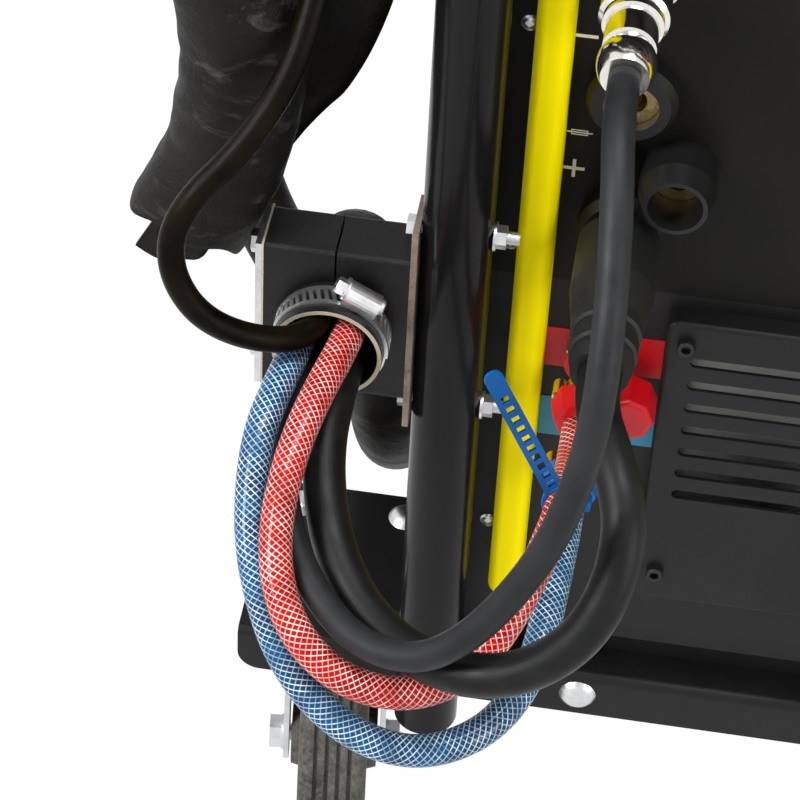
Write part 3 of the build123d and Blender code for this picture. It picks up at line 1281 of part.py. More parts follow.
# Leather jacket round the top of the package, and its opened lower end: a loose roll with a flat flap
jacket_route = [middle(PACKAGE_TOP[-1], JACKETED[0]), *JACKETED, middle(JACKETED[-1], PACKAGE_REST[0])]
jacket_radii = corner_radii([PACKAGE_TOP[-1], *JACKETED, PACKAGE_REST[0]])
jacket_bore = PACKAGE_D + 2 * GAP
save(tube_along("leather_jacket", jacket_route, jacket_radii, JACKET_D, jacket_bore), "leather_jacket")

loose_roll = tube_along("loose roll", LOOSE_ROUTE, corner_radii(LOOSE_ROUTE), JACKET_D, JACKET_D - 2 * FLAP_T)
with BuildPart() as jacket_flap:
    with BuildSketch(facing(APEX_Y - JACKET_D / 2 - SEAT)):
        with BuildLine():
            Polyline(*FLAP_OUTLINE, close=True)
        flap = make_face()
        fillet(flap.vertices(), FLAP_T)
    extrude(amount=FLAP_T)
    add(loose_roll)
save(jacket_flap.part, "jacket_flap")

# Cable tie: a band round the red hose, its head, and the long free strap
with BuildPart() as cable_tie:
    grip = Vector(RED_ROUTE[2])
    way = Vector(RED_ROUTE[3]) - grip
    tie_at = grip + way * 0.5
    with BuildSketch(Plane(origin=tie_at - way.normalized() * TIE_W / 2, z_dir=way)):
        Circle(COOLANT_HOSE_D / 2 + GAP + TIE_T)
        Circle(COOLANT_HOSE_D / 2 + GAP, mode=Mode.SUBTRACT)
    extrude(amount=TIE_W)
    strap_from = tie_at - Vector(1, 0, 0) * (COOLANT_HOSE_D / 2 + GAP + TIE_T * 0.75)
    strap_way = Vector(TIE_TIP) - strap_from
    with BuildSketch(Plane(origin=strap_from, x_dir=way.cross(strap_way), z_dir=strap_way)):
        Rectangle(TIE_T, TIE_W)
    extrude(amount=strap_way.length)
save(cable_tie.part, "cable_tie")

# Bottle bracket on the rear panel with an ear that holds the gas union
with BuildPart() as bottle_bracket:
    plate_right = BOTTLE_D / 2
    plate_left = EAR_X - EAR_END
    with BuildSketch(facing(CAB_REAR + BRACKET_T)):
        with Locations(((plate_left + plate_right) / 2, BRACKET_Z)):
            RectangleRounded(plate_right - plate_left, BRACKET_H, BEND)
        with Locations((EAR_X, BRACKET_Z)):
            Circle(FITTING_D / 2 + SEAT, mode=Mode.SUBTRACT)
    extrude(amount=BRACKET_T)
    with BuildSketch(Plane.XY.offset(BRACKET_Z - BRACKET_H / 2)):
        with BuildLine():
            start_angle = 270 - SADDLE_ARC / 2
            inside = CenterArc((0, BOTTLE_Y), BOTTLE_D / 2, start_angle, SADDLE_ARC)
            outside = CenterArc((0, BOTTLE_Y), BOTTLE_D / 2 + SADDLE_T + 1, start_angle, SADDLE_ARC)
            Line(inside @ 0, outside @ 0)
            Line(inside @ 1, outside @ 1)
        make_face()
    extrude(amount=BRACKET_H)
save(bottle_bracket.part, "bottle_bracket")

with BuildPart() as gas_hose_fitting:
    hose_end = GAS_ROUTE[-1][1]
    ear_rear = CAB_REAR + BRACKET_T
    with BuildSketch(facing(ear_rear)):
        with Locations((EAR_X, BRACKET_Z)):
            Circle(FITTING_D / 2)
    extrude(amount=ear_rear - hose_end)
    with BuildSketch(facing(ear_rear + FITTING_NUT_L)):
        with Locations((EAR_X, BRACKET_Z)):
            RegularPolygon(hexagon(FITTING_AF), 6)
            Circle(FITTING_D / 4, mode=Mode.SUBTRACT)
    extrude(amount=FITTING_NUT_L)
save(gas_hose_fitting.part, "gas_hose_fitting")

# Wire feeder: sheets of the open-sided case, its partition, spool spindle, skids, package gland and hinge
HINGE_X = FEEDER_HALF + GAP + KNUCKLE_D / 2
HINGE_Y = FEEDER_REAR - KNUCKLE_D
HINGE_FOOT = FEEDER_FLOOR + FEEDER_CORNER
HINGE_H = FEEDER_H - 2 * FEEDER_CORNER
WALL_H = FEEDER_H - 2 * FEEDER_SKIN
WALL_L = FEEDER_DEPTH - 2 * FEEDER_SKIN
WALL_Z = FEEDER_FLOOR + FEEDER_H / 2


def flat_sheet(z, thickness, width, length):
    """A level sheet in the middle of the feeder."""
    with BuildPart() as sheet:
        with BuildSketch(Plane.XY.offset(z)):
            with Locations((0, FEEDER_MID_Y)):
                Rectangle(width, length)
        extrude(amount=thickness)
    return sheet.part


def upright_sheet(x, y, length, hole_y=0.0, hole_z=0.0, hole=0.0):
    """A wall of the feeder along Y, with or without a round hole."""
    with BuildPart() as sheet:
        with BuildSketch(Plane.YZ.offset(x)):
            with Locations((y, WALL_Z)):
                Rectangle(length, WALL_H)
            if hole:
                with Locations((hole_y, hole_z)):
                    Circle(hole / 2, mode=Mode.SUBTRACT)
        extrude(amount=FEEDER_SKIN)
    return sheet.part


def end_sheet(y, hole=0.0):
    """A front or rear wall of the feeder, with or without a hole where the wire leaves."""
    with BuildPart() as sheet:
        with BuildSketch(facing(y)):
            with Locations((0, WALL_Z)):
                Rectangle(2 * FEEDER_HALF, WALL_H)
            if hole:
                with Locations((WIRE_X, WIRE_Z)):
                    Circle(hole / 2, mode=Mode.SUBTRACT)
        extrude(amount=FEEDER_SKIN)
    return sheet.part


def side_rod(x, y, z, diameter, length):
    """A round rod along X."""
    with BuildPart() as rod:
        with BuildSketch(Plane.YZ.offset(x)):
            with Locations((y, z)):
                Circle(diameter / 2)
        extrude(amount=length)
    return rod.part


def skid(side):
    """A rail under the feeder's floor."""
    with BuildPart() as rail:
        with BuildSketch(Plane.XY.offset(CAB_TOP)):
            with Locations((side * SKID_X, FEEDER_MID_Y)):
                Rectangle(SKID_W, FEEDER_DEPTH * 0.9)
        extrude(amount=SKID_H)
    return rail.part


def case_knuckle(z):
    """A hinge knuckle with its leaf on the case's rear rim."""
    with BuildPart() as knuckle:
        with BuildSketch(Plane.XY.offset(z)):
            with Locations((HINGE_X, HINGE_Y)):
                Circle(KNUCKLE_D / 2)
            with Locations(((FEEDER_HALF + HINGE_X) / 2, HINGE_Y + KNUCKLE_D / 4)):
                Rectangle(HINGE_X - FEEDER_HALF, KNUCKLE_D / 2)
        extrude(amount=KNUCKLE_L)
    return knuckle.part


with BuildPart() as hinge_pin:
    with BuildSketch(Plane.XY.offset(HINGE_FOOT + KNUCKLE_L)):
        with Locations((HINGE_X, HINGE_Y)):
            Circle(KNUCKLE_PIN_D / 2)
    extrude(amount=HINGE_H - 2 * KNUCKLE_L)

rim_l = FEEDER_CORNER - FEEDER_SKIN
rim_y = FEEDER_REAR - FEEDER_SKIN - rim_l / 2
spindle_x = PARTITION_X + FEEDER_SKIN
gland_z = FEEDER_FLOOR + PACKAGE_GLAND_UP
case_pieces = [
    flat_sheet(FEEDER_FLOOR, FEEDER_SKIN, 2 * FEEDER_HALF, FEEDER_DEPTH),
    flat_sheet(FEEDER_TOP - FEEDER_SKIN, FEEDER_SKIN, 2 * FEEDER_HALF, FEEDER_DEPTH),
    end_sheet(FEEDER_FRONT + FEEDER_SKIN, TORCH_D / 2 + 2 * SEAT),
    end_sheet(FEEDER_REAR),
    upright_sheet(-FEEDER_HALF, FEEDER_MID_Y, WALL_L),
    upright_sheet(FEEDER_HALF - FEEDER_SKIN, rim_y, rim_l),
    upright_sheet(PARTITION_X, FEEDER_MID_Y, WALL_L, DRIVE_Y, DRIVE_Z, MOTOR_D / 2 + 2 * SEAT),
    side_rod(spindle_x, SPOOL_Y, SPOOL_Z, SPOOL_BORE - 2 * RUN, SPOOL_X + SPOOL_W - spindle_x),
    side_rod(-FEEDER_HALF - PACKAGE_GLAND_L, PACKAGE_GLAND_Y, gland_z, PACKAGE_GLAND_D, PACKAGE_GLAND_L),
    skid(-1),
    skid(1),
    case_knuckle(HINGE_FOOT),
    case_knuckle(HINGE_FOOT + HINGE_H - KNUCKLE_L),
    hinge_pin.part,
]
save(Compound([piece.solid() for piece in case_pieces]), "feeder_case")

with BuildPart() as feeder_handle:
    handle_front = FEEDER_MID_Y - HANDLE_L / 2
    handle_rear = FEEDER_MID_Y + HANDLE_L / 2
    handle_start = (0, handle_front, FEEDER_TOP)
    with BuildLine():
        FilletPolyline(
            handle_start, (0, handle_front, FEEDER_TOP + HANDLE_H), (0, handle_rear, FEEDER_TOP + HANDLE_H),
            (0, handle_rear, FEEDER_TOP), radius=HANDLE_BEND)
    with BuildSketch(Plane(origin=handle_start)):
        Circle(HANDLE_D / 2)
    sweep()
save(feeder_handle.part, "feeder_handle")

with BuildPart() as feeder_door:
    door_rear = HINGE_Y - KNUCKLE_D / 2 - 1
    door_front = FEEDER_FRONT + FEEDER_CORNER / 2
    with BuildSketch(Plane.YZ.offset(FEEDER_HALF + GAP)):
        with Locations(((door_front + door_rear) / 2, FEEDER_FLOOR + FEEDER_H / 2)):
            RectangleRounded(door_rear - door_front, FEEDER_H - FEEDER_CORNER, FEEDER_CORNER)
    extrude(amount=DOOR_T)
    with BuildSketch(Plane.XY.offset(HINGE_FOOT + KNUCKLE_L + GAP)):
        with Locations((HINGE_X, HINGE_Y)):
            Circle(KNUCKLE_D / 2)
        with Locations((FEEDER_HALF + GAP + DOOR_T / 2, (door_rear + HINGE_Y) / 2 - 1)):
            Rectangle(DOOR_T, HINGE_Y - door_rear + 2)
        with Locations((HINGE_X, HINGE_Y)):
            Circle(KNUCKLE_PIN_D / 2 + RUN, mode=Mode.SUBTRACT)
    extrude(amount=HINGE_H - 2 * (KNUCKLE_L + GAP))
    with BuildSketch(Plane.YZ.offset(FEEDER_HALF + GAP + DOOR_T)):
        with Locations((door_front + 3 * KNUCKLE_L / 4, FEEDER_FLOOR + FEEDER_H / 2)):
            RectangleRounded(KNUCKLE_L / 2, 2 * KNUCKLE_L, FEEDER_CORNER)
    extrude(amount=4 * DOOR_T, taper=8)
save(feeder_door.part, "feeder_door")

with BuildPart() as wire_spool:
    spool = SPOOL_D / 2
    centre = (SPOOL_X, SPOOL_Y, SPOOL_Z)
    with BuildSketch(Plane(origin=centre, x_dir=(0, 1, 0), z_dir=(0, 0, -1))):
        with BuildLine():
            Polyline((SPOOL_BORE / 2, GAP), (spool, GAP), (spool, SPOOL_RIM), (spool * 0.82, SPOOL_RIM * 1.5),
                     (spool * 0.82, SPOOL_W - SPOOL_RIM * 1.5), (spool, SPOOL_W - SPOOL_RIM),
                     (spool, SPOOL_W), (SPOOL_BORE / 2, SPOOL_W), close=True)
        make_face()
    revolve(axis=Axis(centre, (1, 0, 0)))
save(wire_spool.part, "wire_spool")

with BuildPart() as drive_unit:
    plate_x = PARTITION_X + FEEDER_SKIN
    with BuildSketch(Plane.YZ.offset(plate_x)):
        with Locations((DRIVE_Y, DRIVE_Z + ROLL_D / 4)):
            RectangleRounded(2.6 * ROLL_D, 2.8 * ROLL_D, FEEDER_CORNER)
    extrude(amount=DRIVE_T)
    with BuildSketch(Plane.YZ.offset(plate_x)):
        with Locations((DRIVE_Y, DRIVE_Z)):
            Circle(MOTOR_D / 4)
    extrude(amount=-FEEDER_SKIN - 1)
    with BuildSketch(Plane.YZ.offset(PARTITION_X - GAP)):
        with Locations((DRIVE_Y, DRIVE_Z)):
            Circle(MOTOR_D / 2)
    extrude(amount=-MOTOR_L)
    with BuildSketch(Plane.YZ.offset(DRIVE_FACE)):
        with Locations((DRIVE_Y, DRIVE_Z)):
            Circle(ROLL_SHAFT_D / 2)
    extrude(amount=ROLL_W + 2 * GAP)
    with BuildSketch(Plane.YZ.offset(DRIVE_FACE)):
        with Locations((DRIVE_Y, WIRE_Z + ROLL_D / 2 + 1)):
            Circle(ROLL_D * 0.45)
        with Locations((DRIVE_Y - ROLL_D, WIRE_Z + ROLL_D / 2 + 1)):
            RectangleRounded(ROLL_D * 0.5, ROLL_D, FEEDER_CORNER / 2)
    extrude(amount=ROLL_W)
save(drive_unit.part, "drive_unit")

with BuildPart() as drive_roll:
    centre = (DRIVE_FACE + GAP, DRIVE_Y, DRIVE_Z)
    roll = ROLL_D / 2
    with BuildSketch(Plane(origin=centre, x_dir=(0, 1, 0), z_dir=(0, 0, -1))):
        with BuildLine():
            Polyline((ROLL_SHAFT_D / 2 + RUN, 0), (roll, 0), (roll, ROLL_W * 0.42), (roll - 1, ROLL_W * 0.5),
                     (roll, ROLL_W * 0.58), (roll, ROLL_W), (ROLL_SHAFT_D / 2 + RUN, ROLL_W), close=True)
        make_face()
    revolve(axis=Axis(centre, (1, 0, 0)))
save(drive_roll.part, "drive_roll")

# Torch socket on the feeder's front
with BuildPart() as torch_socket:
    place = (WIRE_X, FEEDER_FRONT, WIRE_Z)
    flange = TORCH_D / 2
    bore = TORCH_BORE / 2
    with BuildSketch(lathe(*place)):
        with BuildLine():
            Polyline((bore, -TORCH_L), (flange / 2, -TORCH_L), (flange / 2, 0), (flange, 0),
                     (flange, TORCH_L * 0.25), (flange * 0.7, TORCH_L * 0.3), (flange * 0.7, TORCH_L),
                     (bore, TORCH_L), close=True)
        make_face()
    revolve(axis=lathe_axis(*place))
save(torch_socket.part, "torch_socket")
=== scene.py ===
"""Looks of the wheeled, water-cooled MIG welder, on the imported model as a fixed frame. Metres, +Z up."""
import math
from bisect import bisect_right

import bmesh
import bpy
from mathutils import Matrix, Vector, noise


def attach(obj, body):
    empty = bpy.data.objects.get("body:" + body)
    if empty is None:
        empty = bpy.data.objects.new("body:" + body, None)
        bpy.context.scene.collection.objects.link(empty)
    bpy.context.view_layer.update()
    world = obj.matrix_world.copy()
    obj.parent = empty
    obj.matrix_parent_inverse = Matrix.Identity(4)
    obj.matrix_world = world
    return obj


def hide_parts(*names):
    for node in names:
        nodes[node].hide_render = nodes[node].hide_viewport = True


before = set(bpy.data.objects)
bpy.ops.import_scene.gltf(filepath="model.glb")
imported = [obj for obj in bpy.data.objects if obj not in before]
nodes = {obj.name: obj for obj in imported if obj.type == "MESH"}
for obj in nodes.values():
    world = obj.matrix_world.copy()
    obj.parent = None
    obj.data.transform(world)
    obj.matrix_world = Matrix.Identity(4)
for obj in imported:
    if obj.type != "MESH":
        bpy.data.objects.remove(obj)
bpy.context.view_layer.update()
scene = bpy.context.scene

# Camera at the photograph's place
AZIMUTH = math.radians(6.45)
ELEVATION = math.radians(43.54)
ROLL = math.radians(3.10)
LENS = 136.67
CAMERA_PLACE = (-0.0518, -1.4887, 1.3849)
outward = Vector((math.sin(AZIMUTH), -math.cos(AZIMUTH), 0))
back = outward * math.cos(ELEVATION) + Vector((0, 0, math.sin(ELEVATION)))
level = Vector((math.cos(AZIMUTH), math.sin(AZIMUTH), 0))
rise = back.cross(level)
right = level * math.cos(ROLL) + rise * math.sin(ROLL)
upward = rise * math.cos(ROLL) - level * math.sin(ROLL)
camera_data = bpy.data.cameras.new("camera")
camera_data.sensor_width = 36
camera_data.lens = LENS
camera_data.clip_end = 50
camera = bpy.data.objects.new("camera", camera_data)
scene.collection.objects.link(camera)
camera.matrix_world = Matrix((right, upward, back)).transposed().to_4x4()
camera.location = CAMERA_PLACE
scene.camera = camera
scene.view_settings.view_transform = "Standard"


class Shader:
    """A material's node tree, with short calls for the nodes used here."""

    def __init__(self, name):
        self.material = bpy.data.materials.new(name)
        self.material.use_nodes = True
        self.tree = self.material.node_tree
        self.base = self.tree.nodes["Principled BSDF"]
        self.coords = self.tree.nodes.new("ShaderNodeTexCoord")

    def link(self, out, into):
        self.tree.links.new(out, into)

    def set(self, **values):
        for name, value in values.items():
            self.base.inputs[name.replace("_", " ")].default_value = value

    def place(self, scale, space="Object"):
        node = self.tree.nodes.new("ShaderNodeMapping")
        node.inputs["Scale"].default_value = scale
        self.link(self.coords.outputs[space], node.inputs["Vector"])
        return node.outputs["Vector"]

    def noise(self, scale, detail=4.0, rough=0.55, warp=0.0, vector=None):
        node = self.tree.nodes.new("ShaderNodeTexNoise")
        node.inputs["Scale"].default_value = scale
        node.inputs["Detail"].default_value = detail
        node.inputs["Roughness"].default_value = rough
        node.inputs["Distortion"].default_value = warp
        self.link(vector or self.coords.outputs["Object"], node.inputs["Vector"])
        return node.outputs["Fac"]

    def cells(self, scale):
        node = self.tree.nodes.new("ShaderNodeTexVoronoi")
        node.inputs["Scale"].default_value = scale
        self.link(self.coords.outputs["Object"], node.inputs["Vector"])
        return node.outputs["Distance"]

    def math(self, kind, first, second=None, third=None):
        node = self.tree.nodes.new("ShaderNodeMath")
        node.operation = kind
        for socket, value in zip(node.inputs, (first, second, third)):
            if value is None:
                continue
            if isinstance(value, (int, float)):
                socket.default_value = value
            else:
                self.link(value, socket)
        return node.outputs["Value"]

    def ramp(self, factor, *stops):
        node = self.tree.nodes.new("ShaderNodeValToRGB")
        while len(node.color_ramp.elements) < len(stops):
            node.color_ramp.elements.new(1.0)
        for element, (place, colour) in zip(node.color_ramp.elements, stops):
            element.position = place
            element.color = (*colour, 1)
        self.link(factor, node.inputs["Fac"])
        return node.outputs["Color"]

    def mix(self, factor, first, second):
        node = self.tree.nodes.new("ShaderNodeMix")
        node.data_type = "RGBA"
        sockets = (node.inputs["Factor"], node.inputs[6], node.inputs[7])
        for socket, value in zip(sockets, (factor, first, second)):
            if isinstance(value, (int, float)):
                socket.default_value = value
            elif isinstance(value, tuple):
                socket.default_value = (*value, 1)
            else:
                self.link(value, socket)
        return node.outputs[2]

    def span(self, value, low, high, to_low, to_high):
        node = self.tree.nodes.new("ShaderNodeMapRange")
        for name, number in (("From Min", low), ("From Max", high), ("To Min", to_low), ("To Max", to_high)):
            node.inputs[name].default_value = number
        self.link(value, node.inputs["Value"])
        return node.outputs["Result"]

    def bump(self, height, strength, distance, below=None):
        node = self.tree.nodes.new("ShaderNodeBump")
        node.inputs["Strength"].default_value = strength
        node.inputs["Distance"].default_value = distance
        self.link(height, node.inputs["Height"])
        if below:
            self.link(below, node.inputs["Normal"])
        return node.outputs["Normal"]

    def colour(self, socket):
        self.link(socket, self.base.inputs["Base Color"])

    def rough(self, socket):
        self.link(socket, self.base.inputs["Roughness"])

    def normal(self, socket):
        self.link(socket, self.base.inputs["Normal"])


def finish_of(name, tint, tone, rough, grain, metal=0.0, coat=0.0, patch=9.0, shine=0.5):
    """A surface with slow colour changes, uneven gloss and a fine grain of a scale, strength and depth."""
    s = Shader(name)
    slow = s.noise(patch, 6.0, 0.6)
    fine = s.noise(grain[0], 3.0, 0.6)
    both = s.math("MULTIPLY_ADD", fine, 0.35, s.math("MULTIPLY", slow, 0.65))
    s.colour(s.ramp(both, (0.3, tint), (0.7, tone)))
    s.rough(s.span(both, 0.3, 0.7, rough[0], rough[1]))
    s.normal(s.bump(fine, grain[1], grain[2]))
    s.set(Metallic=metal, Specular_IOR_Level=shine)
    if coat:
        s.set(Coat_Weight=coat, Coat_Roughness=0.12)
    return s.material


# Pitch of the hose threads along the hose in metres, and how many start around it
THREAD_PITCH = 0.0034
THREAD_STARTS = 12.0


def braided_hose(name, skin, deep, thread):
    """Clear hose with crossing white threads under a skin; the map is metres along and turns around."""
    s = Shader(name)
    parts = s.tree.nodes.new("ShaderNodeSeparateXYZ")
    s.link(s.coords.outputs["UV"], parts.inputs["Vector"])
    along = s.math("DIVIDE", parts.outputs["X"], THREAD_PITCH)
    around = s.math("MULTIPLY", parts.outputs["Y"], THREAD_STARTS)
    ragged = s.math("MULTIPLY_ADD", s.noise(260, 3.0), 0.12, -0.06)
    lines = []
    threads = []
    for way, bright in (("ADD", 1.0), ("SUBTRACT", 0.5)):
        phase = s.math("FRACT", s.math(way, along, around))
        lines.append(s.math("ABSOLUTE", s.math("SUBTRACT", phase, 0.5)))
        threads.append(s.span(s.math("ADD", lines[-1], ragged), 0.375, 0.445, 0.0, bright))
    nearest = s.math("MAXIMUM", lines[0], lines[1])
    lit = s.span(s.noise(110, 2.0), 0.38, 0.6, 0.45, 1.0)
    woven = s.math("MULTIPLY", s.math("MAXIMUM", threads[0], threads[1]), lit)
    tint = s.ramp(s.noise(60, 3.0), (0.35, deep), (0.65, skin))
    s.colour(s.mix(woven, tint, thread))
    s.rough(s.span(woven, 0.0, 1.0, 0.34, 0.24))
    s.normal(s.bump(s.span(nearest, 0.25, 0.5, 0.0, 1.0), 0.4, 0.0005))
    s.set(Specular_IOR_Level=0.06, Coat_Weight=0.28, Coat_Roughness=0.05)
    return s.material


def cable_rubber(name, tint, tone, rough, shine=0.26, grain=0.25):
    """Extruded rubber sheath: fine lines along the cable, dust and rub marks."""
    s = Shader(name)
    dust = s.noise(38, 6.0, 0.65)
    lines = s.noise(1.0, 3.0, 0.5, vector=s.place((40, 160, 1), "UV"))
    s.colour(s.ramp(dust, (0.35, tint), (0.72, tone)))
    s.rough(s.span(s.noise(90, 4.0), 0.3, 0.7, rough - 0.08, rough + 0.08))
    s.normal(s.bump(lines, grain, 0.0004))
    s.set(Specular_IOR_Level=shine)
    return s.material


def leather(name, tint, tone, dust, rubbed):
    """Worn black leather: pebbled grain, creases, and dusty rub marks where rubbed is below 1."""
    s = Shader(name)
    pebbles = s.cells(620)
    creases = s.noise(34, 8.0, 0.68, 1.2)
    rubs = s.noise(1.0, 9.0, 0.72, 0.8, vector=s.place((22, 22, 46)))
    # Colour follows the crease height, darker in the hollows and lighter on the ridges: painted shade in the
    # creases
    base = s.ramp(creases, (0.3, tint), (0.7, tone))
    s.colour(s.mix(s.span(rubs, rubbed, rubbed + 0.2, 0.0, 0.75), base, dust))
    s.rough(s.span(rubs, 0.35, 0.7, 0.4, 0.66))
    s.normal(s.bump(pebbles, 0.25, 0.0005, s.bump(creases, 0.6, 0.0035)))
    s.set(Specular_IOR_Level=0.16)
    return s.material


def tread_rubber(name, tint, dust):
    """Worn wheel rubber with pale dirt in its grain."""
    s = Shader(name)
    dirt = s.noise(60, 8.0, 0.7, 0.4)
    fleck = s.noise(420, 3.0, 0.6)
    both = s.math("MULTIPLY_ADD", fleck, 0.4, s.math("MULTIPLY", dirt, 0.6))
    s.colour(s.ramp(both, (0.38, tint), (0.66, dust)))
    s.rough(s.span(both, 0.3, 0.7, 0.55, 0.85))
    s.normal(s.bump(both, 0.45, 0.0012))
    return s.material


gloss_black = finish_of("gloss_black_paint", (0.005, 0.005, 0.0055), (0.009, 0.009, 0.0095), (0.16, 0.26),
                        (240, 0.05, 0.0004), coat=0.09, shine=0.1)
base_black = finish_of("satin_black_paint", (0.004, 0.004, 0.0045), (0.011, 0.011, 0.012), (0.38, 0.55),
                       (700, 0.12, 0.0005), shine=0.22)
panel_black = finish_of("front_foil", (0.003, 0.0027, 0.0021), (0.0065, 0.006, 0.005), (0.42, 0.52),
                        (1400, 0.15, 0.0003), shine=0.15)
grey_paint = finish_of("dark_grey_paint", (0.02, 0.021, 0.023), (0.033, 0.035, 0.037), (0.42, 0.55),
                       (900, 0.2, 0.0004), shine=0.35)
cooler_paint = finish_of("cooler_paint", (0.005, 0.005, 0.006), (0.011, 0.011, 0.012), (0.42, 0.55),
                         (900, 0.2, 0.0004), shine=0.25)
yellow = finish_of("yellow_trim", (0.99, 0.81, 0.0), (1.0, 0.86, 0.0), (0.45, 0.55), (600, 0.06, 0.0004),
                   shine=0.03)
zinc = finish_of("zinc_plate", (0.5, 0.51, 0.53), (0.78, 0.79, 0.8), (0.22, 0.42), (260, 0.12, 0.0006),
                 metal=1.0, patch=70.0)
bright = finish_of("bright_steel", (0.62, 0.62, 0.63), (0.85, 0.85, 0.86), (0.26, 0.42),
                   (300, 0.06, 0.0004), metal=1.0, patch=80.0)
chrome = finish_of("plug_nickel", (0.68, 0.65, 0.6), (0.86, 0.84, 0.8), (0.08, 0.2), (500, 0.05, 0.0003),
                   metal=1.0, patch=60.0)
rusty = finish_of("bare_steel", (0.12, 0.085, 0.065), (0.4, 0.32, 0.26), (0.5, 0.75), (520, 0.4, 0.0008),
                  metal=0.55, patch=60.0)
grained = finish_of("grained_plastic", (0.003, 0.003, 0.003), (0.009, 0.009, 0.009), (0.34, 0.5),
                    (1500, 0.7, 0.0006), shine=0.24)
smooth_plastic = finish_of("black_plastic", (0.005, 0.005, 0.0055), (0.011, 0.011, 0.012), (0.3, 0.42),
                           (1500, 0.12, 0.0003), shine=0.35)
red_plastic = finish_of("red_plastic", (0.42, 0.002, 0.006), (0.6, 0.004, 0.01), (0.28, 0.4),
                        (600, 0.08, 0.0004), shine=0.35)
blue_plastic = finish_of("blue_plastic", (0.01, 0.1, 0.4), (0.015, 0.14, 0.52), (0.28, 0.4),
                         (600, 0.08, 0.0004), shine=0.35)
pale_blue = finish_of("blue_mark", (0.02, 0.19, 0.34), (0.03, 0.25, 0.42), (0.4, 0.5), (600, 0.08, 0.0004),
                      shine=0.35)
tie_blue = finish_of("tie_nylon", (0.0, 0.075, 0.28), (0.001, 0.115, 0.38), (0.36, 0.48),
                     (800, 0.1, 0.0003), shine=0.25)
brass = finish_of("turned_brass", (0.55, 0.36, 0.12), (0.8, 0.6, 0.28), (0.16, 0.32), (400, 0.08, 0.0004),
                  metal=1.0, patch=60.0)
aluminium = finish_of("aluminium", (0.55, 0.56, 0.57), (0.75, 0.76, 0.77), (0.3, 0.45), (300, 0.1, 0.0005),
                      metal=1.0, patch=30.0)
pump_paint = finish_of("cast_pump", (0.04, 0.045, 0.05), (0.08, 0.085, 0.09), (0.45, 0.65),
                       (300, 0.4, 0.001))
tank_white = finish_of("tank_plastic", (0.6, 0.6, 0.55), (0.75, 0.75, 0.7), (0.35, 0.5), (300, 0.1, 0.0006))
plug_rubber = finish_of("moulded_rubber", (0.004, 0.004, 0.004), (0.011, 0.011, 0.011), (0.42, 0.6),
                        (800, 0.25, 0.0006), shine=0.35)
sign_white = finish_of("sign_paint", (0.7, 0.7, 0.68), (0.82, 0.82, 0.8), (0.5, 0.6), (900, 0.05, 0.0002))
cut_edge = finish_of("cut_edge", (0.42, 0.36, 0.26), (0.62, 0.55, 0.42), (0.6, 0.75), (900, 0.3, 0.0004))
glass = finish_of("display_glass", (0.006, 0.008, 0.008), (0.01, 0.013, 0.012), (0.06, 0.1),
                  (500, 0.03, 0.0002))
wire_copper = finish_of("wire_winding", (0.5, 0.22, 0.12), (0.75, 0.4, 0.25), (0.2, 0.35),
                        (300, 0.1, 0.0004), metal=1.0, patch=60.0)
tyre_black = tread_rubber("tyre_rubber", (0.009, 0.009, 0.009), (0.028, 0.027, 0.025))
castor_rubber = tread_rubber("castor_rubber", (0.014, 0.013, 0.012), (0.15, 0.14, 0.12))
red_hose = braided_hose("red_hose", (0.46, 0.003, 0.001), (0.27, 0.001, 0.0), (1.0, 0.84, 0.78))
blue_hose = braided_hose("blue_hose", (0.0005, 0.095, 0.24), (0.0005, 0.042, 0.12), (0.84, 0.96, 1.0))
control_rubber = cable_rubber("control_sheath", (0.011, 0.0118, 0.0133), (0.021, 0.0222, 0.0245), 0.46, 0.2)
power_rubber = cable_rubber("power_sheath", (0.0035, 0.0037, 0.0039), (0.011, 0.0116, 0.0122), 0.42, 0.18)
gas_rubber = cable_rubber("gas_sheath", (0.0016, 0.001, 0.0003), (0.009, 0.0065, 0.0026), 0.34, 0.07)
dusty_leather = leather("dusty_leather", (0.0022, 0.0019, 0.0014), (0.0085, 0.0075, 0.006),
                        (0.12, 0.112, 0.1), 0.56)
flap_leather = leather("flap_leather", (0.0016, 0.0012, 0.0006), (0.0045, 0.0033, 0.0016),
                       (0.016, 0.012, 0.007), 0.62)

FINISH = {
    gloss_black: ("frame_tube",),
    base_black: ("trolley_base", "bottle_bracket"),
    panel_black: ("output_panel", "control_panel"),
    cooler_paint: ("cooler_panel",),
    grey_paint: ("cabinet_cover", "rear_panel", "feeder_case", "feeder_door"),
    yellow: ("front_trim_left", "front_trim_right"),
    zinc: ("trolley_bolts", "castor_plates", "castor_fork_left", "castor_fork_right", "rear_axle",
           "clamp_cover_plate", "strain_relief_bolts", "gas_hose_fitting"),
    bright: ("drive_roll",),
    chrome: ("control_plug", "control_socket"),
    rusty: ("tube_plate",),
    castor_rubber: ("castor_wheel_left", "castor_wheel_right"),
    tyre_black: ("rear_wheel_left", "rear_wheel_right"),
    grained: ("clamp_half_inner", "clamp_half_outer"),
    smooth_plastic: ("panel_sockets", "knob_left", "knob_right", "feeder_handle", "cooling_fan", "wire_spool",
                     "filler_cap", "jacket_end_sleeve"),
    red_plastic: ("mains_switch", "dust_cap_red", "coupling_collar_red"),
    blue_plastic: ("coupling_collar_blue",),
    brass: ("socket_contacts", "coupling_nipples", "torch_socket"),
    aluminium: ("power_module", "drive_unit"),
    pump_paint: ("coolant_pump",),
    tank_white: ("coolant_tank",),
    plug_rubber: ("power_plug",),
}
for paint, names in FINISH.items():
    for name in names:
        mesh = nodes[name].data
        mesh.materials.clear()
        mesh.materials.append(paint)


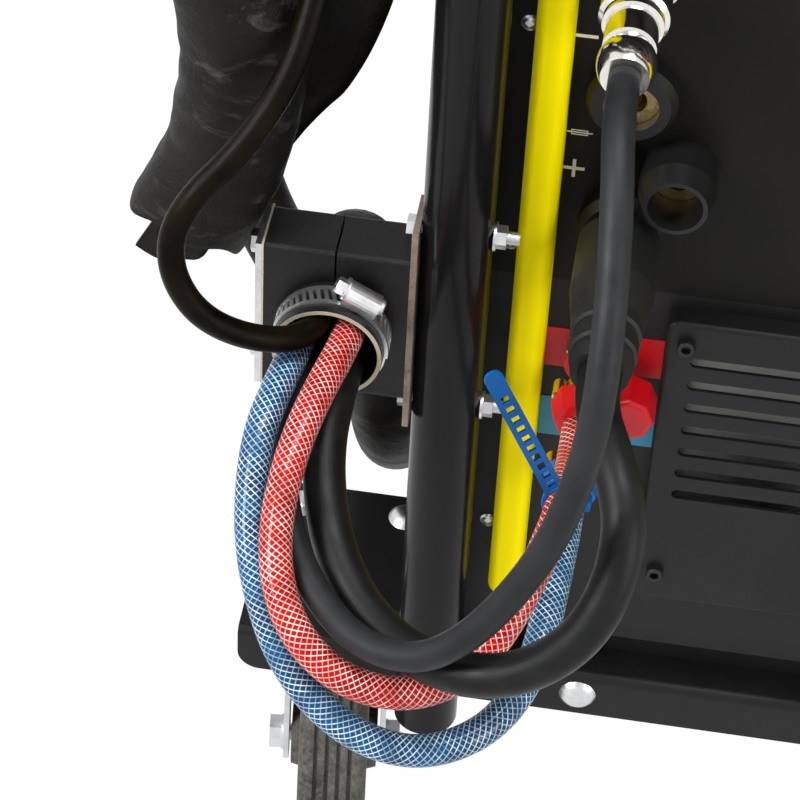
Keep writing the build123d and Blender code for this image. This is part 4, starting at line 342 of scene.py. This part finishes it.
def add_mesh(name, vertices, faces, paint, body="trolley", smooth=True):
    """A mesh piece that rides on a body."""
    mesh = bpy.data.meshes.new(name)
    mesh.from_pydata(vertices, [], faces)
    shape = bmesh.new()
    shape.from_mesh(mesh)
    bmesh.ops.delete(shape, geom=[vertex for vertex in shape.verts if not vertex.link_faces],
                     context="VERTS")
    bmesh.ops.recalc_face_normals(shape, faces=shape.faces)
    shape.to_mesh(mesh)
    shape.free()
    if smooth:
        mesh.polygons.foreach_set("use_smooth", [True] * len(mesh.polygons))
    piece = bpy.data.objects.new(name, mesh)
    scene.collection.objects.link(piece)
    mesh.materials.append(paint)
    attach(piece, body)
    return piece


def route_line(name, points, steps=10):
    """Points along the smooth spline through a route's control points."""
    curve = bpy.data.curves.new(name, "CURVE")
    curve.dimensions = "3D"
    curve.resolution_u = steps
    spline = curve.splines.new("NURBS")
    spline.points.add(len(points) - 1)
    for point, place in zip(spline.points, points):
        point.co = (*[value / 1000 for value in place], 1)
    spline.order_u = 3
    spline.use_endpoint_u = True
    holder = bpy.data.objects.new(name, curve)
    scene.collection.objects.link(holder)
    mesh = bpy.data.meshes.new_from_object(holder)
    line = [vertex.co.copy() for vertex in mesh.vertices]
    bpy.data.meshes.remove(mesh)
    bpy.data.objects.remove(holder)
    bpy.data.curves.remove(curve)
    return line


def frames_along(line):
    """Two cross directions at each point of a line, carried along without twist, and the distance run."""
    tangents = []
    for index in range(len(line)):
        tangents.append((line[min(index + 1, len(line) - 1)] - line[max(index - 1, 0)]).normalized())
    side = tangents[0].orthogonal().normalized()
    result = []
    run = 0.0
    for index, tangent in enumerate(tangents):
        if index:
            side = tangents[index - 1].rotation_difference(tangent) @ side
            run += (line[index] - line[index - 1]).length
        side = (side - tangent * side.dot(tangent)).normalized()
        result.append((tangent, side, tangent.cross(side), run))
    return result


def tube_piece(name, line, radius, paint, around=32):
    """A closed round tube along a line."""
    vertices = []
    turns = [2 * math.pi * step / around for step in range(around)]
    cross = frames_along(line)
    for place, (_, side, other, _) in zip(line, cross):
        for turn in turns:
            vertices.append(place + (side * math.cos(turn) + other * math.sin(turn)) * radius)
    faces = []
    uvs = []
    for row in range(len(line) - 1):
        for step in range(around):
            after = (step + 1) % around
            low, high = row * around, (row + 1) * around
            faces.append((low + step, low + after, high + after, high + step))
            start, end = step / around, (step + 1) / around
            near, far = cross[row][3], cross[row + 1][3]
            uvs += [(near, start), (near, end), (far, end), (far, start)]
    last = (len(line) - 1) * around
    faces.append(tuple(reversed(range(around))))
    faces.append(tuple(range(last, last + around)))
    piece = add_mesh(name, vertices, faces, paint)
    layer = piece.data.uv_layers.new(name="along")
    for loop, uv in zip(layer.data, uvs + [(0, 0)] * (2 * around)):
        loop.uv = uv
    for cap in piece.data.polygons[-2:]:
        cap.use_smooth = False
    return piece


def turned_piece(name, places, axis, profile, paint, body="trolley", around=24, smooth=False,
                 ring=False):
    """Turned shapes at several places, capped or closed into rings; profile is radius and height in mm."""
    axis = Vector(axis).normalized()
    side = axis.orthogonal().normalized()
    other = axis.cross(side)
    vertices = []
    faces = []
    for place in places:
        first = len(vertices)
        for radius, height in profile:
            for step in range(around):
                turn = 2 * math.pi * step / around
                out = (side * math.cos(turn) + other * math.sin(turn)) * radius
                vertices.append((Vector(place) + out + axis * height) / 1000)
        for row in range(len(profile) if ring else len(profile) - 1):
            for step in range(around):
                low = first + row * around
                high = first + (row + 1) % len(profile) * around
                after = (step + 1) % around
                faces.append((low + step, low + after, high + after, high + step))
        if not ring:
            last = first + (len(profile) - 1) * around
            faces.append(tuple(first + step for step in reversed(range(around))))
            faces.append(tuple(last + step for step in range(around)))
    return add_mesh(name, vertices, faces, paint, body, smooth)


def bar_piece(name, boxes, paint, body="trolley", axes=None):
    """Plain bars; each has its lowest and highest corners in millimetres, in the given origin and axes."""
    vertices = []
    faces = []
    for low, high in boxes:
        first = len(vertices)
        for x in (low[0], high[0]):
            for y in (low[1], high[1]):
                for z in (low[2], high[2]):
                    corner = Vector((x, y, z))
                    if axes:
                        corner = axes[0] + axes[1] * x + axes[2] * y + axes[3] * z
                    vertices.append(corner / 1000)
        for ring in ((0, 1, 3, 2), (4, 6, 7, 5), (0, 4, 5, 1), (2, 3, 7, 6), (0, 2, 6, 4), (1, 5, 7, 3)):
            faces.append(tuple(first + corner for corner in ring))
    return add_mesh(name, vertices, faces, paint, body, False)


def strip_piece(name, columns, rows, place, solid, thickness, paint, smooth=False):
    """A thin strip with real gaps; place gives a lattice corner and its outward direction."""
    vertices = []
    for depth in (0.0, thickness):
        for column in range(columns + 1):
            for row in range(rows + 1):
                point, out = place(column, row)
                vertices.append(point + out * depth)
    layer = (columns + 1) * (rows + 1)

    def full(column, row):
        return 0 <= column < columns and 0 <= row < rows and solid(column, row)

    faces = []
    for column in range(columns):
        for row in range(rows):
            if not full(column, row):
                continue
            ring = [at[0] * (rows + 1) + at[1] for at in (
                (column, row), (column + 1, row), (column + 1, row + 1), (column, row + 1))]
            faces.append(tuple(layer + corner for corner in ring))
            faces.append(tuple(reversed(ring)))
            beyond = ((column, row - 1), (column + 1, row), (column, row + 1), (column - 1, row))
            for index, other in enumerate(beyond):
                if not full(*other):
                    near, far = ring[index], ring[(index + 1) % 4]
                    faces.append((near, far, layer + far, layer + near))
    return add_mesh(name, vertices, faces, paint, smooth=smooth)


def at_run(line, cross, run):
    """Place and cross directions at a distance along a line."""
    row = min(max(bisect_right([entry[3] for entry in cross], run) - 1, 0), len(line) - 2)
    near, far = cross[row], cross[row + 1]
    share = (run - near[3]) / (far[3] - near[3])
    return line[row].lerp(line[row + 1], share), near[1].lerp(far[1], share), near[2].lerp(far[2], share)


def sleeve_piece(name, line, radius, wall, run_end, paint, around=72, rows=60):
    """An open leather sleeve; radius and its end vary with the distance and the angle."""
    cross = frames_along(line)
    vertices = []
    for inside in (0.0, wall):
        for row in range(rows + 1):
            for step in range(around):
                turn = 2 * math.pi * step / around
                run = run_end(turn) * row / rows
                place, side, other = at_run(line, cross, run)
                out = side * math.cos(turn) + other * math.sin(turn)
                vertices.append(place + out * (radius(run, turn) - inside))
    layer = (rows + 1) * around
    faces = []
    for row in range(rows):
        for step in range(around):
            after = (step + 1) % around
            low, high = row * around, (row + 1) * around
            ring = (low + step, low + after, high + after, high + step)
            faces.append(ring)
            faces.append(tuple(layer + corner for corner in reversed(ring)))
    for row in (0, rows):
        for step in range(around):
            near, far = row * around + step, row * around + (step + 1) % around
            faces.append((near, far, layer + far, layer + near))
    return add_mesh(name, vertices, faces, paint)


def share_of(line, share):
    """Point at a share of the way along a line."""
    spot = share * (len(line) - 1)
    row = min(int(spot), len(line) - 2)
    return line[row].lerp(line[row + 1], spot - row)


# Cord routes, in millimetres
CONTROL_ROUTE = [
    (-80, -469, 611), (-80, -497, 611), (-76, -527, 597), (-73, -554, 571), (-72, -575, 546),
    (-73, -588, 519), (-78, -596, 491), (-86, -600, 461), (-99, -603, 432), (-116, -606, 405),
    (-137, -605, 384), (-165, -592, 374), (-190, -567, 376), (-208, -537, 385), (-217, -504, 396),
    (-216, -469, 404.3), (-214.4, -435, 405.5), (-214.4, -401.5, 405.5),
]
POWER_ROUTE = [
    (-75.5, -495, 466), (-75.5, -517, 466), (-66, -543, 466), (-55, -569, 454), (-56, -587, 434),
    (-65, -600, 413), (-81, -605, 394), (-102, -604, 379), (-127, -597, 371), (-154, -578, 365),
    (-176, -555, 370), (-191, -527, 381), (-198.5, -498, 396), (-198.5, -467, 406), (-196.4, -434, 407.5),
    (-196.4, -401.5, 407.5),
]
RED_ROUTE = [
    (-84, -445, 384), (-84, -467, 384), (-84.5, -491, 391), (-86, -516, 395), (-93, -543, 386),
    (-104, -568, 369), (-119, -583, 352), (-144, -595, 347), (-172, -596, 353), (-196, -586, 368),
    (-209, -565, 385), (-212, -541, 402), (-209, -514, 417), (-203, -486, 425), (-196, -457, 428),
    (-194.4, -429, 427.2), (-194.4, -401.5, 427.2),
]
BLUE_ROUTE = [
    (-84, -445, 335), (-84, -468, 335), (-85, -494, 333), (-87, -524, 325), (-92, -552, 316),
    (-107, -577, 309), (-133, -594, 308), (-160, -598, 316), (-185, -592, 331), (-202, -581, 347),
    (-214, -566, 364), (-223, -547, 381), (-227, -525, 399), (-227, -503, 413), (-223, -481, 419),
    (-219, -457, 420.5), (-217.9, -429, 422.7), (-217.9, -401.5, 422.7),
]
GAS_ROUTE = [
    (-207.9, -401.5, 435.3), (-207.9, -425, 435.3), (-208.5, -449, 433), (-219, -467, 436),
    (-240, -479, 446), (-259, -485, 461), (-271, -484, 481), (-273, -480, 502), (-264, -474, 521),
    (-248, -464, 537), (-235, -452, 554), (-226, -441, 571), (-221, -429, 588), (-218, -417, 605),
    (-212, -405, 622), (-205, -389, 640), (-200, -366, 661), (-196, -337, 680), (-192, -298, 694),
    (-189, -253.2, 702), (-186, -199.4, 705), (-184, -145.7, 704), (-182, -91.9, 701), (-179, -38.2, 698),
    (-176, 15.6, 697), (-173, 64.9, 698), (-171, 109.7, 700), (-171, 150, 700),
]
JACKETED = [
    (-262, -246, 874), (-298, -280, 850), (-314, -318, 805), (-316, -345, 752), (-316, -345, 697),
    (-316, -322, 645), (-316, -280, 602),
]
PACKAGE_ROUTE = [
    (-165, -230, 880), (-214, -230, 880), *JACKETED, (-316, -230, 565), (-316, -176, 530),
    (-316, -121, 494), (-318, -66, 458), (-321, -13, 417), (-327, 36, 372), (-335, 79, 321),
    (-345, 113, 265), (-356, 135, 207), (-363, 141, 149), (-361, 125, 95), (-338, 88, 49), (-297, 39, 24),
    (-267, -12, 23), (-241, -60, 36), (-218, -112, 66), (-206, -160, 99), (-198, -202, 132),
    (-194, -240, 164), (-193, -270, 199), (-194, -292, 239), (-196, -308, 281), (-198, -323, 322),
    (-201, -338, 361), (-204, -355, 395), (-204.85, -378, 418), (-204.85, -401.5, 418),
]


def plain_cord(name, node, points, diameter, paint):
    """A round cord along its route, in place of its CAD solid."""
    line = route_line(name, points)
    piece = tube_piece(name, line, diameter / 2, paint)
    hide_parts(node)


# Leather jacket: the sleeve round the package, its loose lower end and the flap beside that
cuff_line = route_line("cuff_route", [(-238, -238, 877), *JACKETED, (-316, -255, 583.5)])
cuff_length = frames_along(cuff_line)[-1][3]
CUFF_R = 0.0287
CUFF_WALL = 0.0055
LOOSE_R = 0.0288
LEATHER_T = 0.0024
FLAP_T = 0.0022


def creased(run, turn, depth, wave):
    """A fold's height, quick along the sleeve and slow around it."""
    return depth * noise.noise(Vector((run / wave, 1.3 * math.cos(turn), 1.3 * math.sin(turn))))


def cuff_radius(run, turn):
    return CUFF_R + creased(run, turn, 0.0011, 0.016)


cuff = sleeve_piece("jacket_cuff", cuff_line, cuff_radius, CUFF_WALL, lambda turn: cuff_length,
                    dusty_leather, around=48)
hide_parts("leather_jacket")

LOOSE_ROUTE = [
    (-304, -403.2, 706), (-270, -405, 638), (-253, -407, 577), (-254, -410, 528), (-262, -413, 493),
    (-278, -416, 459),
]
loose_line = route_line("loose_route", LOOSE_ROUTE, 12)
loose_length = frames_along(loose_line)[-1][3]


def loose_radius(run, turn):
    folds = creased(run, turn, 0.0024, 0.03) + creased(run + 0.2, turn, 0.0009, 0.011)
    return LOOSE_R + folds * min(1.0, run / 0.05)


def loose_end(turn):
    return loose_length - 0.004 + 0.004 * math.sin(2 * turn + 0.6) + 0.002 * math.sin(5 * turn)


roll = sleeve_piece("loose_sleeve", loose_line, loose_radius, LEATHER_T, loose_end, dusty_leather, rows=110)
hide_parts("jacket_flap")

FLAP_BACK = -375.2
flap_top = route_line("flap_top", [(x, FLAP_BACK, z) for x, z in (
    (-333, 728), (-318, 745), (-300, 738), (-240, 650), (-214, 638), (-176, 638))])
flap_hem = route_line("flap_hem", [(x, FLAP_BACK - y, z) for x, y, z in (
    (-312, 4, 406), (-301, 5, 399), (-289, 3, 402), (-277, 1, 402), (-273, 0, 418), (-264, 1, 423),
    (-254.5, 0, 427))])
flap_left = route_line("flap_left", [(x, FLAP_BACK - y, z) for x, y, z in (
    (-333, 0, 728), (-312, 0, 690), (-270, 0, 640), (-246, 0, 580), (-258, 1, 505), (-312, 4, 406))])
flap_right = route_line("flap_right", [(x, FLAP_BACK, z) for x, z in (
    (-176, 638), (-185, 592), (-194, 553), (-208, 517), (-222, 500), (-234, 482), (-243, 462), (-251, 446),
    (-254.5, 427))])
FLAP_COLUMNS, FLAP_ROWS = 22, 56


def flap_place(column, row):
    """A point of the hanging flap between its four edges, with slow waves across it."""
    u, v = column / FLAP_COLUMNS, row / FLAP_ROWS
    across = share_of(flap_top, u).lerp(share_of(flap_hem, u), v)
    down = share_of(flap_left, v).lerp(share_of(flap_right, v), u)
    corners = flap_top[0].lerp(flap_top[-1], u).lerp(flap_hem[0].lerp(flap_hem[-1], u), v)
    point = across + down - corners
    point.y += 0.0016 * math.sin(9 * v + 5 * u) * v + 0.0012 * noise.noise(Vector((6 * u, 14 * v, 0)))
    return point, Vector((0, -1, 0))


flap = strip_piece("jacket_tongue", FLAP_COLUMNS, FLAP_ROWS, flap_place, lambda column, row: True, FLAP_T,
                   flap_leather, True)

plain_cord("control_lead", "control_cable", CONTROL_ROUTE, 0.014, control_rubber)
plain_cord("welding_lead", "power_cable", POWER_ROUTE, 0.020, power_rubber)
plain_cord("blue_coolant_hose", "coolant_hose_blue", BLUE_ROUTE, 0.0155, blue_hose)
plain_cord("gas_supply_hose", "gas_hose", GAS_ROUTE, 0.0125, gas_rubber)
plain_cord("package_hose", "hose_package", PACKAGE_ROUTE, 0.044, flap_leather)

# Ladder tie on the red hose: band, head and the long strap with its slots
tie_at = Vector((-85.25, -503.5, 393))
tie_way = Vector((-1.5, -25, 4)).normalized()
tie_band = turned_piece("tie_band", [tie_at - tie_way * 4.5], tie_way,
                        ((8.1, 0), (9.5, 0), (9.8, 0.7), (9.8, 8.3), (9.5, 9), (8.1, 9)), tie_blue,
                        around=48, ring=True)
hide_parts("cable_tie")
tie_side = Vector((1, 0, 0))
tie_out = tie_side.cross(tie_way)
tie_head = bar_piece("tie_head",
                     [((8.6, -2.4, -4.4), (12.8, 2.4, 3.0)), ((9.2, 2.4, -2.6), (12.2, 3.6, 1.6))],
                     tie_blue, axes=(tie_at, tie_side, tie_out, tie_way))
STRAP_FROM = Vector((-90.5, -504, 401))
STRAP_TIP = Vector((-123.5, -509, 472.5))
STRAP_ACROSS = Vector((-0.805, -0.427, -0.411))
strap_way = (STRAP_TIP - STRAP_FROM).normalized()
strap_across = (STRAP_ACROSS - strap_way * STRAP_ACROSS.dot(strap_way)).normalized()
strap_out = strap_across.cross(strap_way).normalized()
if strap_out.y > 0:
    strap_out = -strap_out
STRAP_L = (STRAP_TIP - STRAP_FROM).length
STRAP_HALF = 4.5
STRAP_T = 0.0017
STRAP_PITCH = 6.4
STRAP_RUNG = 2.6
TIP_L = 4.6
SOLID_END = 9
STRAP_STEPS = [0.0]
while STRAP_STEPS[-1] + STRAP_PITCH < STRAP_L - SOLID_END:
    STRAP_STEPS += [STRAP_STEPS[-1] + STRAP_RUNG, STRAP_STEPS[-1] + STRAP_PITCH]
LADDER = len(STRAP_STEPS) - 1
STRAP_STEPS += [STRAP_L - 6, STRAP_L - 4.2, STRAP_L - 2.4, STRAP_L - 1.0, STRAP_L - 0.2]


def strap_place(column, row):
    """A corner of the strap, narrower round its tip and bent a little."""
    run = STRAP_STEPS[column]
    past = max(0.0, (run - (STRAP_L - TIP_L)) / TIP_L)
    half = STRAP_HALF * math.sqrt(max(0.0, 1 - past * past))
    offset = (-half, -0.4 * half, 0.4 * half, half)[row]
    bend = 1.5 * math.sin(math.pi * run / STRAP_L)
    return (STRAP_FROM + strap_way * run + strap_across * offset + strap_out * bend) / 1000, strap_out


strap = strip_piece("tie_strap", len(STRAP_STEPS) - 1, 3, strap_place,
                    lambda column, row: row != 1 or column >= LADDER or column % 2 == 0, STRAP_T, tie_blue)
plain_cord("red_coolant_hose", "coolant_hose_red", RED_ROUTE, 0.0155, red_hose)

# Worm-drive hose clamp on the jacket's end sleeve
CLAMP_MID = Vector((-204.85, -442, 418))
SCREW_ANGLE = math.radians(62)
clamp_away = Vector((math.cos(SCREW_ANGLE), 0, math.sin(SCREW_ANGLE)))
clamp_along = Vector((-math.sin(SCREW_ANGLE), 0, math.cos(SCREW_ANGLE)))
SLOT_PITCH = 3.6
SLOT_GAP = 1.9
BAND_R = 26.65
BAND_TAIL_R = 27.6
BAND_T = 0.0009
HOUSE_HALF_W = 6.6
HOUSE_HALF_L = 8.5
HOUSE_FOOT = 3.2
HOUSE_RISE = 5.6
SCREW_UP = 4.4


def band_place_at(radius, first):
    """Lattice of a slotted band that starts at an angle, its slots slanted."""
    def place(column, row):
        across = (-6.0, -3.6, 3.6, 6.0)[row]
        run = (column // 2) * SLOT_PITCH + (column % 2) * SLOT_GAP
        slant = 0.28 if 0 < row < 3 else 0.18
        turn = first + (run + slant * across) / radius
        out = Vector((math.cos(turn), 0, math.sin(turn)))
        return (CLAMP_MID + out * radius + Vector((0, across, 0))) / 1000, out
    return place


def slotted(column, row):
    return row != 1 or column % 2 == 0


band = strip_piece("clamp_band", 94, 3, band_place_at(BAND_R, SCREW_ANGLE), slotted, BAND_T, bright)
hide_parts("hose_clamp")
strip_piece("clamp_band_tail", 18, 3, band_place_at(BAND_TAIL_R, SCREW_ANGLE - 1.15), slotted, BAND_T,
            bright)
house_foot = CLAMP_MID + clamp_away * 27.4
house_outline = [(-HOUSE_HALF_W, 0.0), (-HOUSE_HALF_W, HOUSE_FOOT)]
for step in range(1, 12):
    turn = math.pi * step / 12
    house_outline.append((-HOUSE_HALF_W * math.cos(turn), HOUSE_FOOT + HOUSE_RISE * math.sin(turn)))
house_outline += [(HOUSE_HALF_W, HOUSE_FOOT), (HOUSE_HALF_W, 0.0)]
house_vertices = []
for end in (-HOUSE_HALF_L, HOUSE_HALF_L):
    for across, height in house_outline:
        corner = house_foot + clamp_along * end + Vector((0, across, 0)) + clamp_away * height
        house_vertices.append(corner / 1000)
count = len(house_outline)
house_faces = []
for step in range(count):
    after = (step + 1) % count
    house_faces.append((step, after, count + after, count + step))
house_faces += [tuple(range(count)), tuple(range(count, 2 * count))]
add_mesh("clamp_housing", house_vertices, house_faces, bright, smooth=False)
screw_foot = house_foot + clamp_along * HOUSE_HALF_L + clamp_away * SCREW_UP
turned_piece("clamp_screw_flange", [screw_foot], clamp_along,
             ((5.4, 0), (5.6, 0.3), (5.6, 1.2), (5.2, 1.5)), bright, around=32)
turned_piece("clamp_screw_head", [screw_foot], clamp_along,
             ((4.0, 1.4), (4.0, 5.2), (3.3, 5.9), (1.2, 5.9), (1.2, 4.6)), bright, around=6)
screw_end = house_foot - clamp_along * HOUSE_HALF_L + clamp_away * SCREW_UP
turned_piece("clamp_screw_nose", [screw_end], -clamp_along, ((4.0, 0), (4.0, 1.6), (3.2, 2.4)), bright)

# Small pieces of the connection side
FRONT = Vector((0, -1, 0))
turned_piece("sleeve_cut_edge", [(-204.85, -453, 418)], FRONT,
             ((24.3, 0), (26.2, 0), (26.2, 0.25), (24.3, 0.25)), cut_edge, around=72,
             ring=True)
# Pale strip filling the 1 mm seam between the clamp halves, in place of the shade in the gap: a painted
# highlight along the seam
bar_piece("seam_painted_highlight", [((-239.9, -432.2, 373.8), (-238.9, -401.8, 462.2))], cut_edge)
PANEL_Y = -387
INTAKE_Y = -399


def mark(left, foot, right_end, top, proud):
    """A flat mark on the front panel."""
    return (left, PANEL_Y - proud, foot), (right_end, PANEL_Y, top)


# A minus, a plus, and a fuse: a line through a narrow box
bar_piece("signs", [
    mark(-106.1, 569.2, -95.9, 570.8, 0.35),
    mark(-106, 493.2, -96, 494.8, 0.35), mark(-101.8, 488.8, -100.2, 493.2, 0.35),
    mark(-101.8, 494.8, -100.2, 499.2, 0.35),
    mark(-106, 515, -94, 515.5, 0.3),
    mark(-103.5, 513.8, -96.5, 514.2, 0.3), mark(-103.5, 516.3, -96.5, 516.7, 0.3),
    mark(-103.9, 513.8, -103.5, 516.7, 0.3), mark(-96.5, 513.8, -96.1, 516.7, 0.3),
], sign_white)
bar_piece("red_mark", [mark(-106, 369, -48.3, 394, 0.5)], red_plastic)
bar_piece("blue_mark", [mark(-106, 322, -48.3, 348, 0.5)], pale_blue)
PAN_HEAD = ((4.2, 0), (4.2, 0.8), (3.6, 1.9), (2.2, 2.5), (2.0, 1.4))
turned_piece("front_screws", [(x, PANEL_Y, z) for x in (-127, 127) for z in (574, 445, 255)], FRONT,
             PAN_HEAD, zinc)
turned_piece("intake_screws", [(x, INTAKE_Y, z) for z in (246, 404) for x in (-38, 94)], FRONT,
             ((4.4, 0), (4.4, 3.6), (4.0, 4.2), (2.4, 4.2), (2.4, 1.6)), smooth_plastic)
for label, way in (("left", -1), ("right", 1)):
    spots = [(142 * way, y, z) for y in (-365, 165) for z in (190, 470, 760)]
    turned_piece("side_screws_" + label, spots, (way, 0, 0), PAN_HEAD, zinc)
turned_piece("rear_screws", [(x, 185, z) for x in (-132, 132) for z in (190, 470, 770)], (0, 1, 0),
             PAN_HEAD, zinc)
threads = [(-127.15 + step, -417, z) for z in (364, 472) for step in range(6)]
turned_piece("stud_threads", threads, (1, 0, 0), ((3.0, 0), (3.22, 0.25), (3.22, 0.55), (3.0, 0.8)), zinc,
             around=24)

# Control panel: display, pointers and the switch mark
bar_piece("display_glass", [((-84.5, -392.6, 741.5), (4.5, -391, 770.5))], glass)
SEGMENTS = {
    "a": ((-3, 6.4), (3, 7.6)), "b": ((3.2, 0.5), (4.4, 6.6)), "c": ((3.2, -6.6), (4.4, -0.5)),
    "d": ((-3, -7.6), (3, -6.4)), "e": ((-4.4, -6.6), (-3.2, -0.5)), "f": ((-4.4, 0.5), (-3.2, 6.6)),
    "g": ((-3, -0.6), (3, 0.6)),
}
DIGITS_Z = 756
digits = []
for middle, lit in ((-68, "abged"), (-54, "fgbc"), (-40, "abcdef"), (-26, "afgcd")):
    for segment in lit:
        low, high = SEGMENTS[segment]
        digits.append(((middle + low[0], -392.8, DIGITS_Z + low[1]),
                       (middle + high[0], -392.6, DIGITS_Z + high[1])))
bar_piece("display_digits", digits, red_plastic)
KNOBS = {"left": -70, "right": -10}
KNOB_Z = 704
SCALE_R = 21
for label, middle in KNOBS.items():
    bar_piece("knob_mark_" + label, [((middle - 1, -413.7, KNOB_Z + 1), (middle + 1, -413.2, KNOB_Z + 13))],
              sign_white, "setting_knob_" + label)
bar_piece("switch_mark", [((69, -419.7, 706), (71, -419.2, 720))], sign_white, "main_switch")
scale_marks = []
for middle in KNOBS.values():
    for step in range(-5, 6):
        turn = math.radians(30 * step)
        x, z = middle + SCALE_R * math.sin(turn), KNOB_Z + SCALE_R * math.cos(turn)
        scale_marks.append(((x - 0.7, -395.3, z - 0.7), (x + 0.7, -395, z + 0.7)))
bar_piece("knob_scales", scale_marks, sign_white)

# Welding wire on the spool
WIRE_PITCH = 1.6
winding = [(118.0, 6.5)]
for turn in range(54):
    winding += [(124.4, 6.8 + WIRE_PITCH * turn), (123.6, 7.6 + WIRE_PITCH * turn)]
winding.append((118.0, 93.5))
turned_piece("spool_winding", [(0, 10, 960)], (1, 0, 0), winding, wire_copper, "spool", 96, True)

# Floor, world and soft studio light
def seen_rays(tree):
    """1 for rays from the camera, from shiny surfaces and through glass, else 0."""
    rays = tree.nodes.new("ShaderNodeLightPath")
    total = rays.outputs["Is Camera Ray"]
    for kind in ("Is Glossy Ray", "Is Transmission Ray"):
        larger = tree.nodes.new("ShaderNodeMath")
        larger.operation = "MAXIMUM"
        tree.links.new(total, larger.inputs[0])
        tree.links.new(rays.outputs[kind], larger.inputs[1])
        total = larger.outputs["Value"]
    return total


floor_mesh = bpy.data.meshes.new("floor")
FLOOR_HALF = 6
WHITE = 1.06
floor_corners = [(x * FLOOR_HALF, y * FLOOR_HALF, 0) for x, y in ((-1, -1), (1, -1), (1, 1), (-1, 1))]
floor_mesh.from_pydata(floor_corners, [], [(0, 1, 2, 3)])
floor = bpy.data.objects.new("floor", floor_mesh)
scene.collection.objects.link(floor)
pale = Shader("floor_paper")
pale.set(Roughness=0.8)
paper = pale.noise(3.0, 5.0)
pale.colour(pale.ramp(paper, (0.3, (0.88, 0.88, 0.88)), (0.7, (0.92, 0.92, 0.92))))
glow = pale.tree.nodes.new("ShaderNodeEmission")
glow.inputs["Color"].default_value = (1, 1, 1, 1)
glow.inputs["Strength"].default_value = WHITE
blend = pale.tree.nodes.new("ShaderNodeMixShader")
pale.link(pale.math("MULTIPLY", seen_rays(pale.tree), 0.94), blend.inputs["Fac"])
pale.link(pale.base.outputs["BSDF"], blend.inputs[1])
pale.link(glow.outputs["Emission"], blend.inputs[2])
pale.link(blend.outputs["Shader"], pale.tree.nodes["Material Output"].inputs["Surface"])
floor_mesh.materials.append(pale.material)

world = bpy.data.worlds.new("studio")
scene.world = world
world.use_nodes = True
sky = world.node_tree.nodes["Background"]
sky.inputs["Color"].default_value = (1, 1, 1, 1)
level_out = world.node_tree.nodes.new("ShaderNodeMapRange")
level_out.inputs["To Min"].default_value = 0.25
level_out.inputs["To Max"].default_value = WHITE
world.node_tree.links.new(seen_rays(world.node_tree), level_out.inputs["Value"])
world.node_tree.links.new(level_out.outputs["Result"], sky.inputs["Strength"])


def soft_box(name, place, aim, size, power):
    """A large soft light."""
    data = bpy.data.lights.new(name, "AREA")
    data.shape = "RECTANGLE"
    data.size, data.size_y = size
    data.energy = power
    lamp = bpy.data.objects.new(name, data)
    scene.collection.objects.link(lamp)
    lamp.location = place
    lamp.rotation_euler = (Vector(aim) - Vector(place)).to_track_quat("-Z", "Y").to_euler()


soft_box("key_light", (-1.9, -1.6, 2.0), (-0.15, -0.4, 0.5), (0.6, 1.5), 68)
soft_box("top_light", (0.2, -0.6, 2.9), (0, -0.2, 0.5), (1.6, 0.7), 48)
soft_box("fill_light", (2.2, -1.8, 1.3), (0, -0.3, 0.5), (0.6, 1.4), 28)
